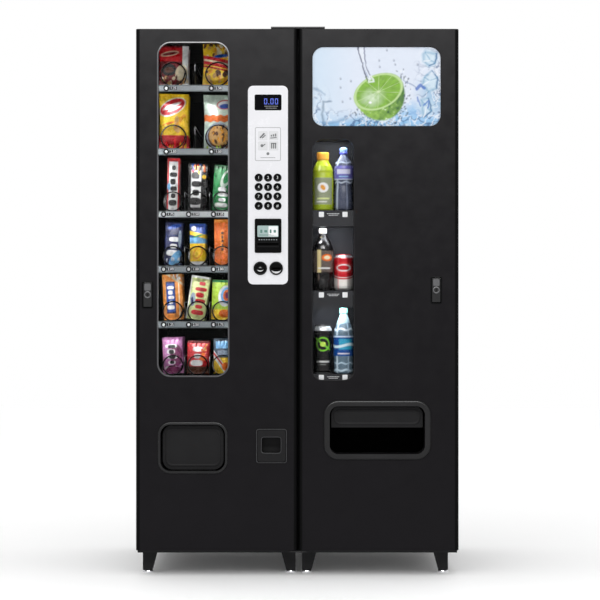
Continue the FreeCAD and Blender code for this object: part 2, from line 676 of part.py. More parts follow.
box_x = ("sign_left_x - 4", "display_right_x + 4")
case = block("case", box_x, (SHELF_FRONT, f"{SHELF_BACK} + 3"), ("display_bottom_z - 4", "display_top_z + 4"))
bays = []
for i, shelf_z in enumerate(SHELF_TOPS):
    ceiling = "display_top_z + 1" if i == 0 else SHELF_TOPS[i - 1] - LABEL_PANEL_HEIGHT
    bays.append(block(f"bay_{i}", (f"{box_x[0]} + 3", f"{box_x[1]} - 3"),
                      (f"{SHELF_FRONT} - {CLEAR}", SHELF_BACK), (shelf_z, ceiling)))
node("display_shelves", cut("display_case", case, *bays))

SAMPLE_Y = "door_front_y + skin + glass + 46"


def bottle(name, x, z, radius, height, cap_radius):
    """A drinks bottle: straight body, sloping shoulder, neck and cap."""
    shoulder, neck = height * 0.62, height * 0.86
    wall_part = post(name + "_body", x, SAMPLE_Y, (z, z + shoulder), radius)
    slope = cone(name + "_shoulder", x, SAMPLE_Y, (z + shoulder, z + neck), radius, cap_radius)
    top = post(name + "_cap", x, SAMPLE_Y, (z + neck, z + height), cap_radius)
    return fuse(name, wall_part, slope, top)


def can(name, x, z, radius, height):
    """A drinks can: straight body with a narrowed foot and top."""
    taper, neck = 8, 0.82 * radius
    foot = cone(name + "_foot", x, SAMPLE_Y, (z, z + taper), neck, radius)
    barrel = post(name + "_body", x, SAMPLE_Y, (z + taper, z + height - taper), radius)
    top = cone(name + "_top", x, SAMPLE_Y, (z + height - taper, z + height), radius, neck)
    return fuse(name, foot, barrel, top)


left_x, right_x = SAMPLE_LANES_X
upper_z, middle_z, lower_z = [top + 0.4 for top in SHELF_TOPS]
samples = [
    bottle("sports_bottle", left_x, upper_z, 36, 196, 20),
    bottle("clear_bottle", right_x, upper_z, 33, 214, 14),
    bottle("dark_bottle", left_x, middle_z, 36, 209, 14.5),
    can("red_can", right_x, middle_z, 33, 122),
    can("tall_can", left_x, lower_z, 31, 164),
    bottle("water_bottle", right_x, lower_z, 34, 221, 14.5),
]
node("display_drinks", group("sample_drinks", *samples))

# ---- snack trays, spirals and motors ----


def dividers_of(wide):
    lanes = WIDE_LANES_X if wide else NARROW_LANES_X
    return [(lanes[i] + lanes[i + 1]) / 2 for i in range(len(lanes) - 1)]


def tray(number, low_z, wide):
    """A shelf with a price rail at the front, side walls and one divider between lanes."""
    floor = block(f"tray_{number}_floor", ("tray_left_x", "tray_right_x"),
                  ("tray_front_y + rail_thickness", "tray_back_y"), (low_z, f"{low_z} + tray_floor"))
    rail = block(f"tray_{number}_rail", ("tray_left_x", "tray_right_x"),
                 ("tray_front_y", "tray_front_y + rail_thickness"),
                 (f"{low_z} - rail_drop", f"{low_z} - rail_drop + rail_height"))
    walls = []
    side_height = f"{low_z} + tray_side"
    inside = ("tray_front_y + rail_thickness", "tray_back_y")
    for side_name, x in (("left", ("tray_left_x", "tray_left_x + 2")),
                         ("right", ("tray_right_x - 2", "tray_right_x"))):
        walls.append(block(f"tray_{number}_{side_name}", x, inside, (low_z, side_height)))
    for i, middle in enumerate(dividers_of(wide)):
        walls.append(block(f"tray_{number}_divider_{i}", (middle - 1, middle + 1),
                           ("tray_front_y + rail_thickness", "tray_back_y - 60"), (low_z, side_height)))
    return fuse(f"tray_{number}", floor, rail, *walls)


node("snack_trays", group("tray_stack", *[
    tray(i + 1, low_z, i < WIDE_TRAYS) for i, low_z in enumerate(TRAY_Z)
]))


def spiral(name, x, low_z, radius_name, pitch_name):
    """A coil of wire along the lane, fixed at the back to a hub with a drive shaft."""
    radius, pitch = value(radius_name), value(pitch_name)
    turns = value("spiral_length") / pitch
    steps = int(turns * FACETS_PER_TURN)
    points = []
    for i in range(steps + 1):
        angle = 2 * math.pi * i / FACETS_PER_TURN
        points.append(V(radius * math.cos(angle), radius * math.sin(angle), pitch * i / FACETS_PER_TURN))
    centre_z = f"{low_z} + tray_floor + 1.5 + {radius_name} + wire_radius"
    path = doc.addObject("Part::Feature", name + "_path")
    path.Shape = Part.makePolygon(points)
    section = doc.addObject("Part::Circle", name + "_section")
    bind(section, Radius="wire_radius")
    section.Placement = FreeCAD.Placement(points[0], FreeCAD.Rotation(V(0, 0, 1), points[1] - points[0]))
    coil = doc.addObject("Part::Sweep", name + "_coil")
    coil.Sections = [section]
    coil.Spine = (path, [])
    coil.Solid = True
    coil.Frenet = False
    coil.Transition = "Right corner"
    place(coil, x, "spiral_front_y", centre_z, TOWARDS_BACK)
    end = f"spiral_front_y + {points[-1].z}"
    hub = rod(name + "_hub", x, (f"{end} - 2", f"{end} + 4"), centre_z, f"{radius_name} + wire_radius")
    shaft = rod(name + "_shaft", x, (f"{end} + 2", "tray_back_y - 52"), centre_z, 6)
    node(name, fuse(name + "_whole", coil, hub, shaft))
    return centre_z


motors = []
for row, low_z in enumerate(TRAY_Z):
    is_wide = row < WIDE_TRAYS
    kind = "wide" if is_wide else "narrow"
    for lane, lane_x in enumerate(WIDE_LANES_X if is_wide else NARROW_LANES_X):
        code = f"{row + 1}{'abc'[lane]}"
        axis_z = spiral(f"spiral_{code}", lane_x, low_z, f"{kind}_spiral_radius", f"{kind}_spiral_pitch")
        case_x = (f"{lane_x} - 24", f"{lane_x} + 24")
        case_z = (f"{low_z} + tray_floor", f"{low_z} + tray_floor + 70")
        motors.append(block(f"motor_{code}", case_x, ("tray_back_y - 50", "tray_back_y - 5"), case_z))
node("spiral_motors", group("motor_bank", *motors))

# ---- delivery bins inside the cabinets ----


def bin_box(name, x, y, z):
    """An open-topped bin that is also open towards the door."""
    sheet_metal = 3
    shell = block(name + "_shell", x, y, z)
    room = block(name + "_room", (f"{x[0]} + {sheet_metal}", f"{x[1]} - {sheet_metal}"),
                 (f"{y[0]} - {CLEAR}", f"{y[1]} - {sheet_metal}"),
                 (f"{z[0]} + {sheet_metal}", f"{z[1]} + {CLEAR}"))
    node(name, cut(name + "_cut", shell, room))


BIN_BASE = "deck_z + wall"
BIN_FRONT = "cabinet_front_y + 4"
bin_box("snack_hopper", ("tray_left_x - 1", "tray_right_x - 12"), (BIN_FRONT, 40), (BIN_BASE, 560))
bin_box("drink_chute", ("drink_port_left_x", "drink_port_right_x"), (BIN_FRONT, 60), (BIN_BASE, 600))

# ---- drink store: upright columns that bottles stand stacked in ----
rack_x = ("drink_left_x + wall + 10", "drink_right_x - wall - 10")
rack_y = (-225, 300)
rack_z = (660, "cabinet_top_z - wall - 30")
rack_back = block("rack_back", rack_x, (rack_y[1] - 4, rack_y[1]), rack_z)
COLUMNS = 6
COLUMN_WALL = 3
column_walls = []
for i in range(COLUMNS + 1):
    wall_x = f"{rack_x[0]} + (({rack_x[1]}) - ({rack_x[0]}) - {COLUMN_WALL}) * {i} / {COLUMNS}"
    column_walls.append(block(f"column_wall_{i}", (wall_x, f"{wall_x} + {COLUMN_WALL}"), rack_y, rack_z))
node("drink_columns", fuse("drink_rack", rack_back, *column_walls))

# ---- cooling unit in the drink cabinet's machinery space ----
WORKS_FLOOR = "cabinet_base_z + wall"
POT_X, POT_Y, POT_RADIUS = 360, 120, 80
POT_TOP = f"{WORKS_FLOOR} + 150"
pan = block("cooling_pan", (60, 480), (-250, 300), (WORKS_FLOOR, f"{WORKS_FLOOR} + 6"))
pot = post("compressor_pot", POT_X, POT_Y, (f"{WORKS_FLOOR} + 4", POT_TOP), POT_RADIUS)
dome = cone("compressor_dome", POT_X, POT_Y, (POT_TOP, f"{POT_TOP} + 25"), POT_RADIUS, 45)
condenser = block("condenser", (90, 250), (-60, 200), (f"{WORKS_FLOOR} + 4", f"{WORKS_FLOOR} + 170"))
node("compressor_unit", fuse("cooling_unit", pan, pot, dome, condenser))

# ---- build, test and write ----
doc.recompute()
for thing in doc.Objects:
    if "Invalid" in thing.State or "Error" in thing.State:
        raise RuntimeError(f"{thing.Label} failed: {thing.State}")
for thing in nodes:
    if thing.Shape.isNull() or not thing.Shape.isValid():
        raise RuntimeError(f"{thing.Label} has no valid shape")
os.makedirs("parts", exist_ok=True)
for thing in nodes:
    thing.Shape.exportStep(f"parts/{thing.Label}.step")
print(len(nodes), "sub-parts")
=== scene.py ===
"""Looks of the two-cabinet vending machine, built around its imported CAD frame."""

import json
import math
import random

import bmesh
import bpy
import numpy as np
from mathutils import Matrix, Vector


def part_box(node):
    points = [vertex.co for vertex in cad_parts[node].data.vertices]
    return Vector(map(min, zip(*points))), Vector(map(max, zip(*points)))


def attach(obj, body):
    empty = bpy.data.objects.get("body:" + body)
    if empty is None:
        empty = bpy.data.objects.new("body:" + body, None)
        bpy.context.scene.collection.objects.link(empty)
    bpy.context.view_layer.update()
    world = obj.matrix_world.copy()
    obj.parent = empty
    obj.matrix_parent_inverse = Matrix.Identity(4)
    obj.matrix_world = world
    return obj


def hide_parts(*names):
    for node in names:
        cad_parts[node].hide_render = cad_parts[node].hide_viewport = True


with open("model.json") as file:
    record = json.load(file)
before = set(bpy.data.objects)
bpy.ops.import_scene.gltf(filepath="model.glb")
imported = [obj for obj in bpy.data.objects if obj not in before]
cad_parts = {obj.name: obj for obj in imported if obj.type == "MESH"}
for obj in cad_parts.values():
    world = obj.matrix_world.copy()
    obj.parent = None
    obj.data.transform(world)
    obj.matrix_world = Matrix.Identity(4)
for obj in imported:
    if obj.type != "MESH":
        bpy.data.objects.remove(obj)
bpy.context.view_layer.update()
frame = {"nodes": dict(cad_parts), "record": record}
NODES = frame["nodes"]
MM = 0.001
random.seed(11)


# ---------------------------------------------------------------- small mesh helpers

def mix(a, b, t):
    return a + (b - a) * t


def piece(name, bm, material, body, smooth=None):
    """Turns a bmesh into a named piece that rides on a body. smooth is an angle in degrees."""
    bmesh.ops.recalc_face_normals(bm, faces=bm.faces)
    return raw_piece(name, bm, material, body, smooth)


def put_piece(name, mesh, material, body):
    """Puts a finished mesh in the scene as a piece that rides on a body."""
    thing = bpy.data.objects.new(name, mesh)
    bpy.context.scene.collection.objects.link(thing)
    mesh.materials.append(material)
    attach(thing, body)
    return thing


def raw_piece(name, bm, material, body, smooth=None):
    """As piece, but the faces keep the directions they were made with."""
    mesh = bpy.data.meshes.new(name)
    if smooth is not None:
        limit = math.radians(smooth)
        for face in bm.faces:
            face.smooth = True
        for edge in bm.edges:
            if len(edge.link_faces) == 2 and edge.calc_face_angle(0) > limit:
                edge.smooth = False
    bm.to_mesh(mesh)
    bm.free()
    return put_piece(name, mesh, material, body)


def rounded_outline(x0, x1, z0, z1, radius, steps=8):
    """Points of a rounded rectangle in X and Z, counter-clockwise from the right side's foot."""
    radius = max(min(radius, (x1 - x0) / 2 - 1e-6, (z1 - z0) / 2 - 1e-6), 1e-6)
    corners = (
        (x1 - radius, z0 + radius, -90), (x1 - radius, z1 - radius, 0),
        (x0 + radius, z1 - radius, 90), (x0 + radius, z0 + radius, 180),
    )
    points = []
    for cx, cz, start in corners:
        for i in range(steps + 1):
            a = math.radians(start + 90 * i / steps)
            points.append((cx + radius * math.cos(a), cz + radius * math.sin(a)))
    return points


def inset(box, by):
    x0, x1, z0, z1, radius = box
    return (x0 + by, x1 - by, z0 + by, z1 - by, max(radius - by, 0.0005))


def add_rings(bm, rings, closed_section=True):
    """Skins a list of equally long closed point loops. closed_section joins the last to the first."""
    rows = [[bm.verts.new(p) for p in ring] for ring in rings]
    for a, b in zip(rows, rows[1:] + rows[:1] if closed_section else rows[1:]):
        for j in range(len(a)):
            k = (j + 1) % len(a)
            bm.faces.new((a[j], a[k], b[k], b[j]))
    return rows


def add_capped(bm, rings):
    """Skins the loops and closes both ends."""
    rows = add_rings(bm, rings, False)
    bm.faces.new(rows[0][::-1])
    bm.faces.new(rows[-1])


def add_frame(bm, box, profile, steps=8):
    """A moulding round a rounded rectangle. profile is (inset, y) points in order."""
    rings = [[(x, y, z) for x, z in rounded_outline(*inset(box, by), steps=steps)] for by, y in profile]
    add_rings(bm, rings)


def add_round_rim(bm, x, z, profile, count):
    """A turned rim that faces the front. profile is (radius, y) points in order."""
    turn = [2 * math.pi * i / count for i in range(count)]
    add_rings(bm, [[(x + r * math.cos(a), y, z + r * math.sin(a)) for a in turn] for r, y in profile])


def add_pad(bm, box, y_back, y_front, bevel=0.0, steps=6):
    """A rounded plate with a bevelled front outline; the front is towards -Y."""
    loops = [
        [(x, y_back, z) for x, z in rounded_outline(*box, steps=steps)],
        [(x, y_front + bevel, z) for x, z in rounded_outline(*box, steps=steps)],
    ]
    if bevel:
        loops.append([(x, y_front, z) for x, z in rounded_outline(*inset(box, bevel), steps=steps)])
    add_capped(bm, loops)


def add_tile(bm, x, z, half_width, half_height, radius, y_back, y_front, bevel=0.0, steps=6):
    """A rounded plate, placed by its centre."""
    add_pad(bm, (x - half_width, x + half_width, z - half_height, z + half_height, radius), y_back, y_front,
            bevel, steps)


def add_lathe(bm, profile, centre, axis="Z", segments=32):
    """Turns (radius, height) points about an axis through centre."""
    rings = []
    for radius, height in profile:
        ring = []
        for i in range(segments):
            a = 2 * math.pi * i / segments
            u, v = radius * math.cos(a), radius * math.sin(a)
            ring.append(Vector(centre) + Vector((u, v, height) if axis == "Z" else (u, height, v)))
        rings.append(ring)
    rows = add_rings(bm, rings, False)
    bm.faces.new(rows[0])
    bm.faces.new(rows[-1])


def add_box(bm, low, high, bevel=0.0):
    made = bmesh.ops.create_cube(bm, size=1)
    verts = made["verts"]
    low, high = Vector(low), Vector(high)
    for v in verts:
        v.co = Vector([mix(low[i], high[i], v.co[i] + 0.5) for i in range(3)])
    if bevel:
        edges = list({e for v in verts for e in v.link_edges})
        bmesh.ops.bevel(bm, geom=edges, offset=bevel, segments=2, profile=0.6, affect="EDGES",
                        clamp_overlap=True)


def add_tube(bm, points, radius, ring=8):
    """A round tube along points, with a frame carried from point to point."""
    rings = []
    side = None
    last = len(points) - 1
    for i, point in enumerate(points):
        run = (Vector(points[min(i + 1, last)]) - Vector(points[max(i - 1, 0)])).normalized()
        if side is None:
            side = run.orthogonal().normalized()
        side = (side - run * side.dot(run)).normalized()
        up = run.cross(side)
        rings.append([
            Vector(point) + radius * (math.cos(a) * side + math.sin(a) * up)
            for a in (2 * math.pi * j / ring for j in range(ring))
        ])
    add_capped(bm, rings)


def tint(face, layer, colours):
    """Prints one colour on each corner of a face."""
    for loop, colour in zip(face.loops, colours):
        loop[layer] = (*colour, 1)


# ---------------------------------------------------------------- materials

def socket(shader, name, value):
    shader.inputs[name].default_value = value


class Nodes:
    """A new material with its Principled shader, and short ways to add nodes to it."""

    def __init__(self, name, **values):
        self.material = bpy.data.materials.new(name)
        self.material.use_nodes = True
        self.tree = self.material.node_tree
        self.shader = self.tree.nodes["Principled BSDF"]
        for key, value in values.items():
            socket(self.shader, key.replace("_", " "), value)
        self.coordinates = self.tree.nodes.new("ShaderNodeTexCoord").outputs["Object"]

    def link(self, a, b):
        self.tree.links.new(a, b)

    def noise(self, scale, detail=3.0, roughness=0.5, stretch=None):
        node = self.tree.nodes.new("ShaderNodeTexNoise")
        node.inputs["Scale"].default_value = scale
        node.inputs["Detail"].default_value = detail
        node.inputs["Roughness"].default_value = roughness
        source = self.coordinates
        if stretch:
            mapping = self.tree.nodes.new("ShaderNodeMapping")
            mapping.inputs["Scale"].default_value = stretch
            self.link(source, mapping.inputs["Vector"])
            source = mapping.outputs["Vector"]
        self.link(source, node.inputs["Vector"])
        return node.outputs["Fac"]

    def ramp(self, factor, stops):
        node = self.tree.nodes.new("ShaderNodeValToRGB")
        elements = node.color_ramp.elements
        while len(elements) < len(stops):
            elements.new(0.5)
        for element, (position, colour) in zip(elements, stops):
            element.position = position
            element.color = (*colour, 1) if not isinstance(colour, float) else (colour, colour, colour, 1)
        self.link(factor, node.inputs["Fac"])
        return node.outputs["Color"]

    def bump(self, height, strength, distance):
        node = self.tree.nodes.new("ShaderNodeBump")
        node.inputs["Strength"].default_value = strength
        node.inputs["Distance"].default_value = distance
        self.link(height, node.inputs["Height"])
        previous = self.shader.inputs["Normal"].links
        if previous:
            self.link(previous[0].from_socket, node.inputs["Normal"])
        self.link(node.outputs["Normal"], self.shader.inputs["Normal"])

    def attribute(self, name):
        node = self.tree.nodes.new("ShaderNodeAttribute")
        node.attribute_name = name
        return node.outputs["Color"]


def shade(colour, factor):
    return tuple(min(c * factor, 1.0) for c in colour)


def coated(name, colour, roughness=0.45, grain=900, grain_depth=0.00006, spread=0.12, **values):
    """Painted sheet or moulded plastic: fine grain, soft cloudy colour and smudged gloss."""
    n = Nodes(name, **values)
    cloud = n.noise(6, 4, 0.6)
    n.link(n.ramp(cloud, ((0.3, shade(colour, 1 - spread)), (0.7, shade(colour, 1 + spread)))),
           n.shader.inputs["Base Color"])
    smudge = n.noise(19, 5, 0.65)
    n.link(n.ramp(smudge, ((0.3, roughness * 0.88), (0.75, min(roughness * 1.14, 1.0)))),
           n.shader.inputs["Roughness"])
    n.bump(n.noise(grain, 2, 0.5), 0.55, grain_depth)
    return n.material


def brushed(name, colour, roughness=0.3, stretch=(4, 4, 600)):
    n = Nodes(name, Metallic=1.0)
    streak = n.noise(3, 4, 0.6, stretch)
    n.link(n.ramp(streak, ((0.3, shade(colour, 0.82)), (0.7, shade(colour, 1.1)))),
           n.shader.inputs["Base Color"])
    n.link(n.ramp(streak, ((0.2, roughness * 0.8), (0.8, roughness * 1.3))), n.shader.inputs["Roughness"])
    n.bump(streak, 0.2, 0.00003)
    return n.material


def clear_sheet(name, tone, alpha):
    n = Nodes(name, Roughness=0.03, Alpha=alpha)
    haze = n.noise(7, 3, 0.5)
    n.link(n.ramp(haze, ((0.35, shade(tone, 0.92)), (0.7, tone))), n.shader.inputs["Base Color"])
    n.material.surface_render_method = "BLENDED"
    return n.material


def printed(name, roughness=0.3, metallic=0.0, crinkle=0.0004, crinkle_scale=120, **values):
    """Takes its colours from the mesh's own print attribute."""
    n = Nodes(name, Metallic=metallic, **values)
    n.link(n.attribute("print"), n.shader.inputs["Base Color"])
    n.link(n.ramp(n.noise(60, 3, 0.6), ((0.3, roughness * 0.8), (0.75, roughness * 1.3))),
           n.shader.inputs["Roughness"])
    n.bump(n.noise(crinkle_scale, 4, 0.6), 0.5, crinkle)
    return n.material


def glowing(name, colour, strength):
    n = Nodes(name, Roughness=0.3)
    flicker = n.noise(40, 2, 0.5)
    lit = n.ramp(flicker, ((0.3, shade(colour, 0.9)), (0.7, colour)))
    n.link(lit, n.shader.inputs["Base Color"])
    n.link(lit, n.shader.inputs["Emission Color"])
    socket(n.shader, "Emission Strength", strength)
    return n.material


DOOR = coated("door_powder_coat", (0.0030, 0.0023, 0.0036), 0.33, 1400, 0.00007, 0.10,
              Specular_IOR_Level=0.10)
# The door edge coat is darker than the door coat: painted shade on the doors' rounded upright edges.
EDGE_SHADE = coated("door_edge_shade", (0.0008, 0.0008, 0.001), 0.5, 1200, 0.00005, 0.2, Specular_IOR_Level=0.05)
CABINET = coated("cabinet_coat", (0.007, 0.007, 0.0078), 0.5, 1100, 0.00008, 0.12, Specular_IOR_Level=0.2)
LINER = coated("liner_black", (0.0016, 0.0016, 0.0018), 0.65, 700, 0.00006, 0.2, Specular_IOR_Level=0.05)
STRAP = coated("strap_coat", (0.01, 0.01, 0.0105), 0.4, 900, 0.00006, 0.15, Specular_IOR_Level=0.2)
LEG = coated("leg_coat", (0.0065, 0.0065, 0.0072), 0.42, 1000, 0.00007, 0.12, Specular_IOR_Level=0.12)
TRAY = coated("tray_coat", (0.145, 0.170, 0.187), 0.42, 900, 0.00004, 0.12)
# A near-black copy of the slate tray coat: painted shade for the trays inside the cabinet, while the rail
# faces at the front keep the lit slate tray coat.
TRAY_SHADED = coated("tray_shaded_coat", (0.0025, 0.003, 0.0034), 0.5, 900, 0.00004, 0.16,
                   Specular_IOR_Level=0.05)
WHITE_STRIP = coated("label_strip", (0.36, 0.385, 0.40), 0.5, 500, 0.00003, 0.08)
MOTOR = coated("motor_plastic", (0.006, 0.006, 0.0065), 0.6, 600, 0.00008, 0.2, Specular_IOR_Level=0.1)
RACK = brushed("rack_steel", (0.45, 0.46, 0.48), 0.35)
GLASS = clear_sheet("window_glass", (0.004, 0.005, 0.0055), 0.04)
PANEL = coated("panel_white", (0.76, 0.76, 0.79), 0.26, 300, 0.00002, 0.02)
BLACK_GLOSS = coated("black_gloss", (0.0018, 0.0018, 0.0021), 0.2, 500, 0.00003, 0.2, Specular_IOR_Level=0.06)
BLACK_SATIN = coated("black_satin", (0.0026, 0.0026, 0.003), 0.38, 800, 0.00006, 0.15,
                     Specular_IOR_Level=0.07)
TRIM_GREY = coated("trim_grey", (0.05, 0.05, 0.055), 0.36, 900, 0.00004, 0.12)
PORT_GREY = coated("port_rim_coat", (0.0075, 0.0073, 0.008), 0.34, 900, 0.00006, 0.12, Specular_IOR_Level=0.2)
FLAP_COAT = coated("flap_coat", (0.0052, 0.0049, 0.0057), 0.42, 900, 0.00006, 0.12, Specular_IOR_Level=0.12)
LENS = coated("lens_black", (0.0015, 0.0015, 0.003), 0.12, 200, 0.00001, 0.2, Specular_IOR_Level=0.05)
CHROME = brushed("chrome", (0.7, 0.7, 0.72), 0.14, (20, 20, 60))
DARK_STEEL = brushed("dark_steel", (0.28, 0.28, 0.3), 0.3, (30, 30, 400))
LOCK_BLACK = coated("lock_black", (0.006, 0.006, 0.0065), 0.3, 900, 0.00004, 0.15, Specular_IOR_Level=0.25)
LOCK_GRIP = coated("lock_grip", (0.065, 0.065, 0.07), 0.35, 900, 0.00004, 0.12)
COIL = coated("coil_wire", (0.003, 0.003, 0.0034), 0.26, 1500, 0.00005, 0.2, Specular_IOR_Level=0.3)
RUBBER = coated("gasket_rubber", (0.012, 0.012, 0.012), 0.75, 900, 0.0001, 0.15)
SLATE = coated("display_slate", (0.0145, 0.0152, 0.019), 0.5, 700, 0.00005, 0.15, Specular_IOR_Level=0.15)
WRAPPER = printed("wrapper_film", 0.28, 0.12, 0.0011, 70)
PICTURE = printed("sign_print", 0.2, 0.0, 0.00001, 40)
LABEL_WHITE = coated("label_white", (0.8, 0.81, 0.82), 0.5, 400, 0.00002, 0.04)
INK_GREY = coated("ink_grey", (0.24, 0.245, 0.25), 0.5, 400, 0.00001, 0.08)
RAIL_INK = coated("rail_ink", (0.008, 0.008, 0.009), 0.6, 400, 0.00001, 0.02, Specular_IOR_Level=0.04)
# The cup edge coat is lighter than the plates: painted highlights along the coin cup's raised edges.
CUP_EDGE_HIGHLIGHT = coated("cup_edge_highlight", (0.034, 0.034, 0.037), 0.36, 900, 0.00006, 0.12, Specular_IOR_Level=0.3)
CARD_INK = coated("card_ink", (0.10, 0.105, 0.11), 0.5, 400, 0.00001, 0.1)
KEY_MARK = coated("key_mark", (0.64, 0.65, 0.66), 0.5, 400, 0.00001, 0.03)
BLUE_DIGITS = glowing("blue_digits", (0.05, 0.10, 0.62), 0.6)
SCREEN = glowing("screen_light", (0.27, 0.36, 0.35), 0.25)
LAMP = glowing("lamp_tube", (0.85, 0.93, 1.0), 2.5)

FINISHES = {
    "cabinet_black": CABINET, "door_charcoal": DOOR, "strap_steel": STRAP, "leg_grey": LEG,
    "tray_slate": TRAY_SHADED, "motor_plastic": MOTOR, "liner_black": LINER, "rack_steel": RACK,
    "inlet_plastic": BLACK_SATIN, "clear_glass": GLASS, "panel_white": PANEL, "lens_black": LENS,
    "black_plastic": BLACK_GLOSS, "key_black": BLACK_GLOSS, "trim_grey": TRIM_GREY,
    "trim_dark": PORT_GREY, "sign_picture": PICTURE, "display_slate": SLATE, "drink_plastic": GLASS,
    "lock_steel": LOCK_BLACK, "spiral_wire": COIL,
}
for part in frame["record"]["subparts"]:
    mesh = NODES[part["node"]].data
    mesh.materials.clear()
    mesh.materials.append(FINISHES[part["material_slot"]])
for flap_node in ("snack_port_flap", "drink_port_flap"):
    NODES[flap_node].data.materials[0] = FLAP_COAT
NODES["snack_port_trim"].data.materials[0] = PORT_GREY
NODES["coin_cup"].data.materials[0] = FLAP_COAT

# ---------------------------------------------------------------- places taken from the frame

def flat_box(node):
    """A node's front outline as (x0, x1, z0, z1) and its front and back y."""
    low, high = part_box(node)
    return (low.x, high.x, low.z, high.z), low.y, high.y


DOOR_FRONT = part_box("snack_door_panel")[0].y
SKIN = 3 * MM
LAP = 7 * MM


def opening_of(pane_node, radius):
    (x0, x1, z0, z1), _, _ = flat_box(pane_node)
    return (x0 + LAP, x1 - LAP, z0 + LAP, z1 - LAP, radius)


WINDOW = opening_of("snack_window_glass", 42 * MM)
DISPLAY = opening_of("drink_window_glass", 33 * MM)
SIGN = opening_of("sign_panel", 38 * MM)

# ---------------------------------------------------------------- window and sign trims


def edge_trim(name, box, width, proud, material, body):
    """A thin moulding that laps the edge of a cut-out in a door skin."""
    bm = bmesh.new()
    add_frame(bm, box, (
        (-width, DOOR_FRONT - 0.0002), (-width + 0.0008, DOOR_FRONT - proud),
        (-0.001, DOOR_FRONT - proud - 0.0004), (0.0006, DOOR_FRONT - proud * 0.5),
        (0.0008, DOOR_FRONT + SKIN - 0.0002), (-0.0003, DOOR_FRONT + SKIN - 0.0002),
        (-0.0003, DOOR_FRONT - 0.0002),
    ), steps=14)
    return piece(name, bm, material, body, smooth=40)


edge_trim("snack_window_trim", WINDOW, 4.5 * MM, 1.4 * MM, TRIM_GREY, "snack_door")
edge_trim("drink_window_trim", DISPLAY, 2.4 * MM, 1.0 * MM, PORT_GREY, "drink_door")
edge_trim("sign_trim", SIGN, 2.0 * MM, 0.8 * MM, PORT_GREY, "drink_door")

# ---------------------------------------------------------------- spirals

LANES = sorted(name for name in NODES if name.startswith("spiral_") and name != "spiral_motors")
WIRE = 2.3 * MM
COIL_START = -248 * MM
WIDE_RADIUS, WIDE_PITCH = 42 * MM, 74 * MM
NARROW_RADIUS, NARROW_PITCH = 33 * MM, 47 * MM
POINTS_PER_TURN = 28


def lane_facts(name):
    """Axis position, radius and pitch of a lane's spiral, from its CAD box."""
    low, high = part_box(name)
    wide = high.x - low.x > 80 * MM
    axis = ((low.x + high.x) / 2, (low.z + high.z) / 2)
    return axis, (WIDE_RADIUS, WIDE_PITCH) if wide else (NARROW_RADIUS, NARROW_PITCH), high.y


def smooth_spiral(name):
    (x, z), (radius, pitch), shaft_end = lane_facts(name)
    length = 400 * MM
    turns = int(length / pitch * 12) / 12
    count = int(turns * POINTS_PER_TURN)
    points = []
    for i in range(count + 1):
        a = -2 * math.pi * i / POINTS_PER_TURN
        points.append((x + radius * math.cos(a), COIL_START + pitch * i / POINTS_PER_TURN,
                       z + radius * math.sin(a)))
    bm = bmesh.new()
    add_tube(bm, points, WIRE, 8)
    end = points[-1][1]
    rim = radius + WIRE
    add_lathe(bm, ((0.002, end - 2 * MM), (rim - 0.001, end - 2 * MM), (rim, end - 1 * MM),
                   (rim, end + 3 * MM),
                   (rim - 0.001, end + 4 * MM), (0.011, end + 4 * MM), (0.0085, end + 7 * MM),
                   (0.006, end + 8 * MM), (0.006, shaft_end), (0.002, shaft_end)), (x, 0, z), "Y", 28)
    coil = piece("coil_" + name[-2:], bm, COIL, name + "_coil", smooth=40)
    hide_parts(name)


for lane in LANES:
    smooth_spiral(lane)

# ---------------------------------------------------------------- printed patterns
# A design is a base colour and a list of shapes, each painted over the last. u runs from 0 to 1
# across and v from 0 to 1 up. Shapes are plain and stand for nothing.


def ripple(across, up, seed, scale, octaves=4):
    """Smooth random pattern from -1 to 1, as a sum of crossed waves."""
    rng = np.random.default_rng(seed)
    total = np.zeros_like(across)
    for level in range(octaves):
        grow = scale * 1.9 ** level
        for _ in range(5):
            a, phase = rng.uniform(0, math.pi), rng.uniform(0, 6.28)
            total += np.sin(grow * (math.cos(a) * across + math.sin(a) * up) + phase
                            + 1.3 * np.sin(grow * 0.45 * up + phase)) / 1.7 ** level
    return total / 8


def soft_step(value, width=0.012):
    return np.clip(value / width + 0.5, 0, 1)


BEAD_WIDTHS = (1.0, 0.58, 0.84, 0.66, 0.95, 0.5)


def mask_of(shape, u, v):
    kind = shape[0]
    if kind == "band":
        _, low, high, _ = shape
        return soft_step(v - low) * soft_step(high - v)
    if kind == "side":
        _, low, high, _ = shape
        return soft_step(u - low) * soft_step(high - u)
    if kind == "slant":
        _, start, end, lean, _ = shape
        w = v + lean * (u - 0.5)
        return soft_step(w - start) * soft_step(end - w)
    if kind == "oval":
        _, cu, cv, ru, rv, lean, _ = shape
        c, s = math.cos(lean), math.sin(lean)
        du, dv = (u - cu), (v - cv)
        a, b = (du * c + dv * s) / ru, (-du * s + dv * c) / rv
        return soft_step((1 - np.sqrt(a * a + b * b)) * min(ru, rv))
    if kind == "box":
        _, u0, u1, v0, v1, _ = shape
        return soft_step(u - u0) * soft_step(u1 - u) * soft_step(v - v0) * soft_step(v1 - v)
    if kind == "wave":
        _, low, high, waves, swing, _ = shape
        edge = swing * np.sin(2 * math.pi * waves * u)
        return soft_step(v - low - edge) * soft_step(high + edge - v)
    if kind == "beads":
        _, cu, v0, v1, count, ru, _ = shape
        total = np.zeros_like(u)
        pitch = (v1 - v0) / count
        for i in range(count):
            cv = v0 + pitch * (i + 0.5)
            broad = BEAD_WIDTHS[i % len(BEAD_WIDTHS)]
            a = (u - cu - 0.12 * ru * ((i * 7) % 3 - 1)) / (ru * broad * 1.35)
            b = (v - cv) / (pitch * (0.34 if i % 3 else 0.43))
            total = np.maximum(total, soft_step(1 - np.abs(a) ** 3 - np.abs(b) ** 3, 0.5))
        return total
    raise ValueError(kind)


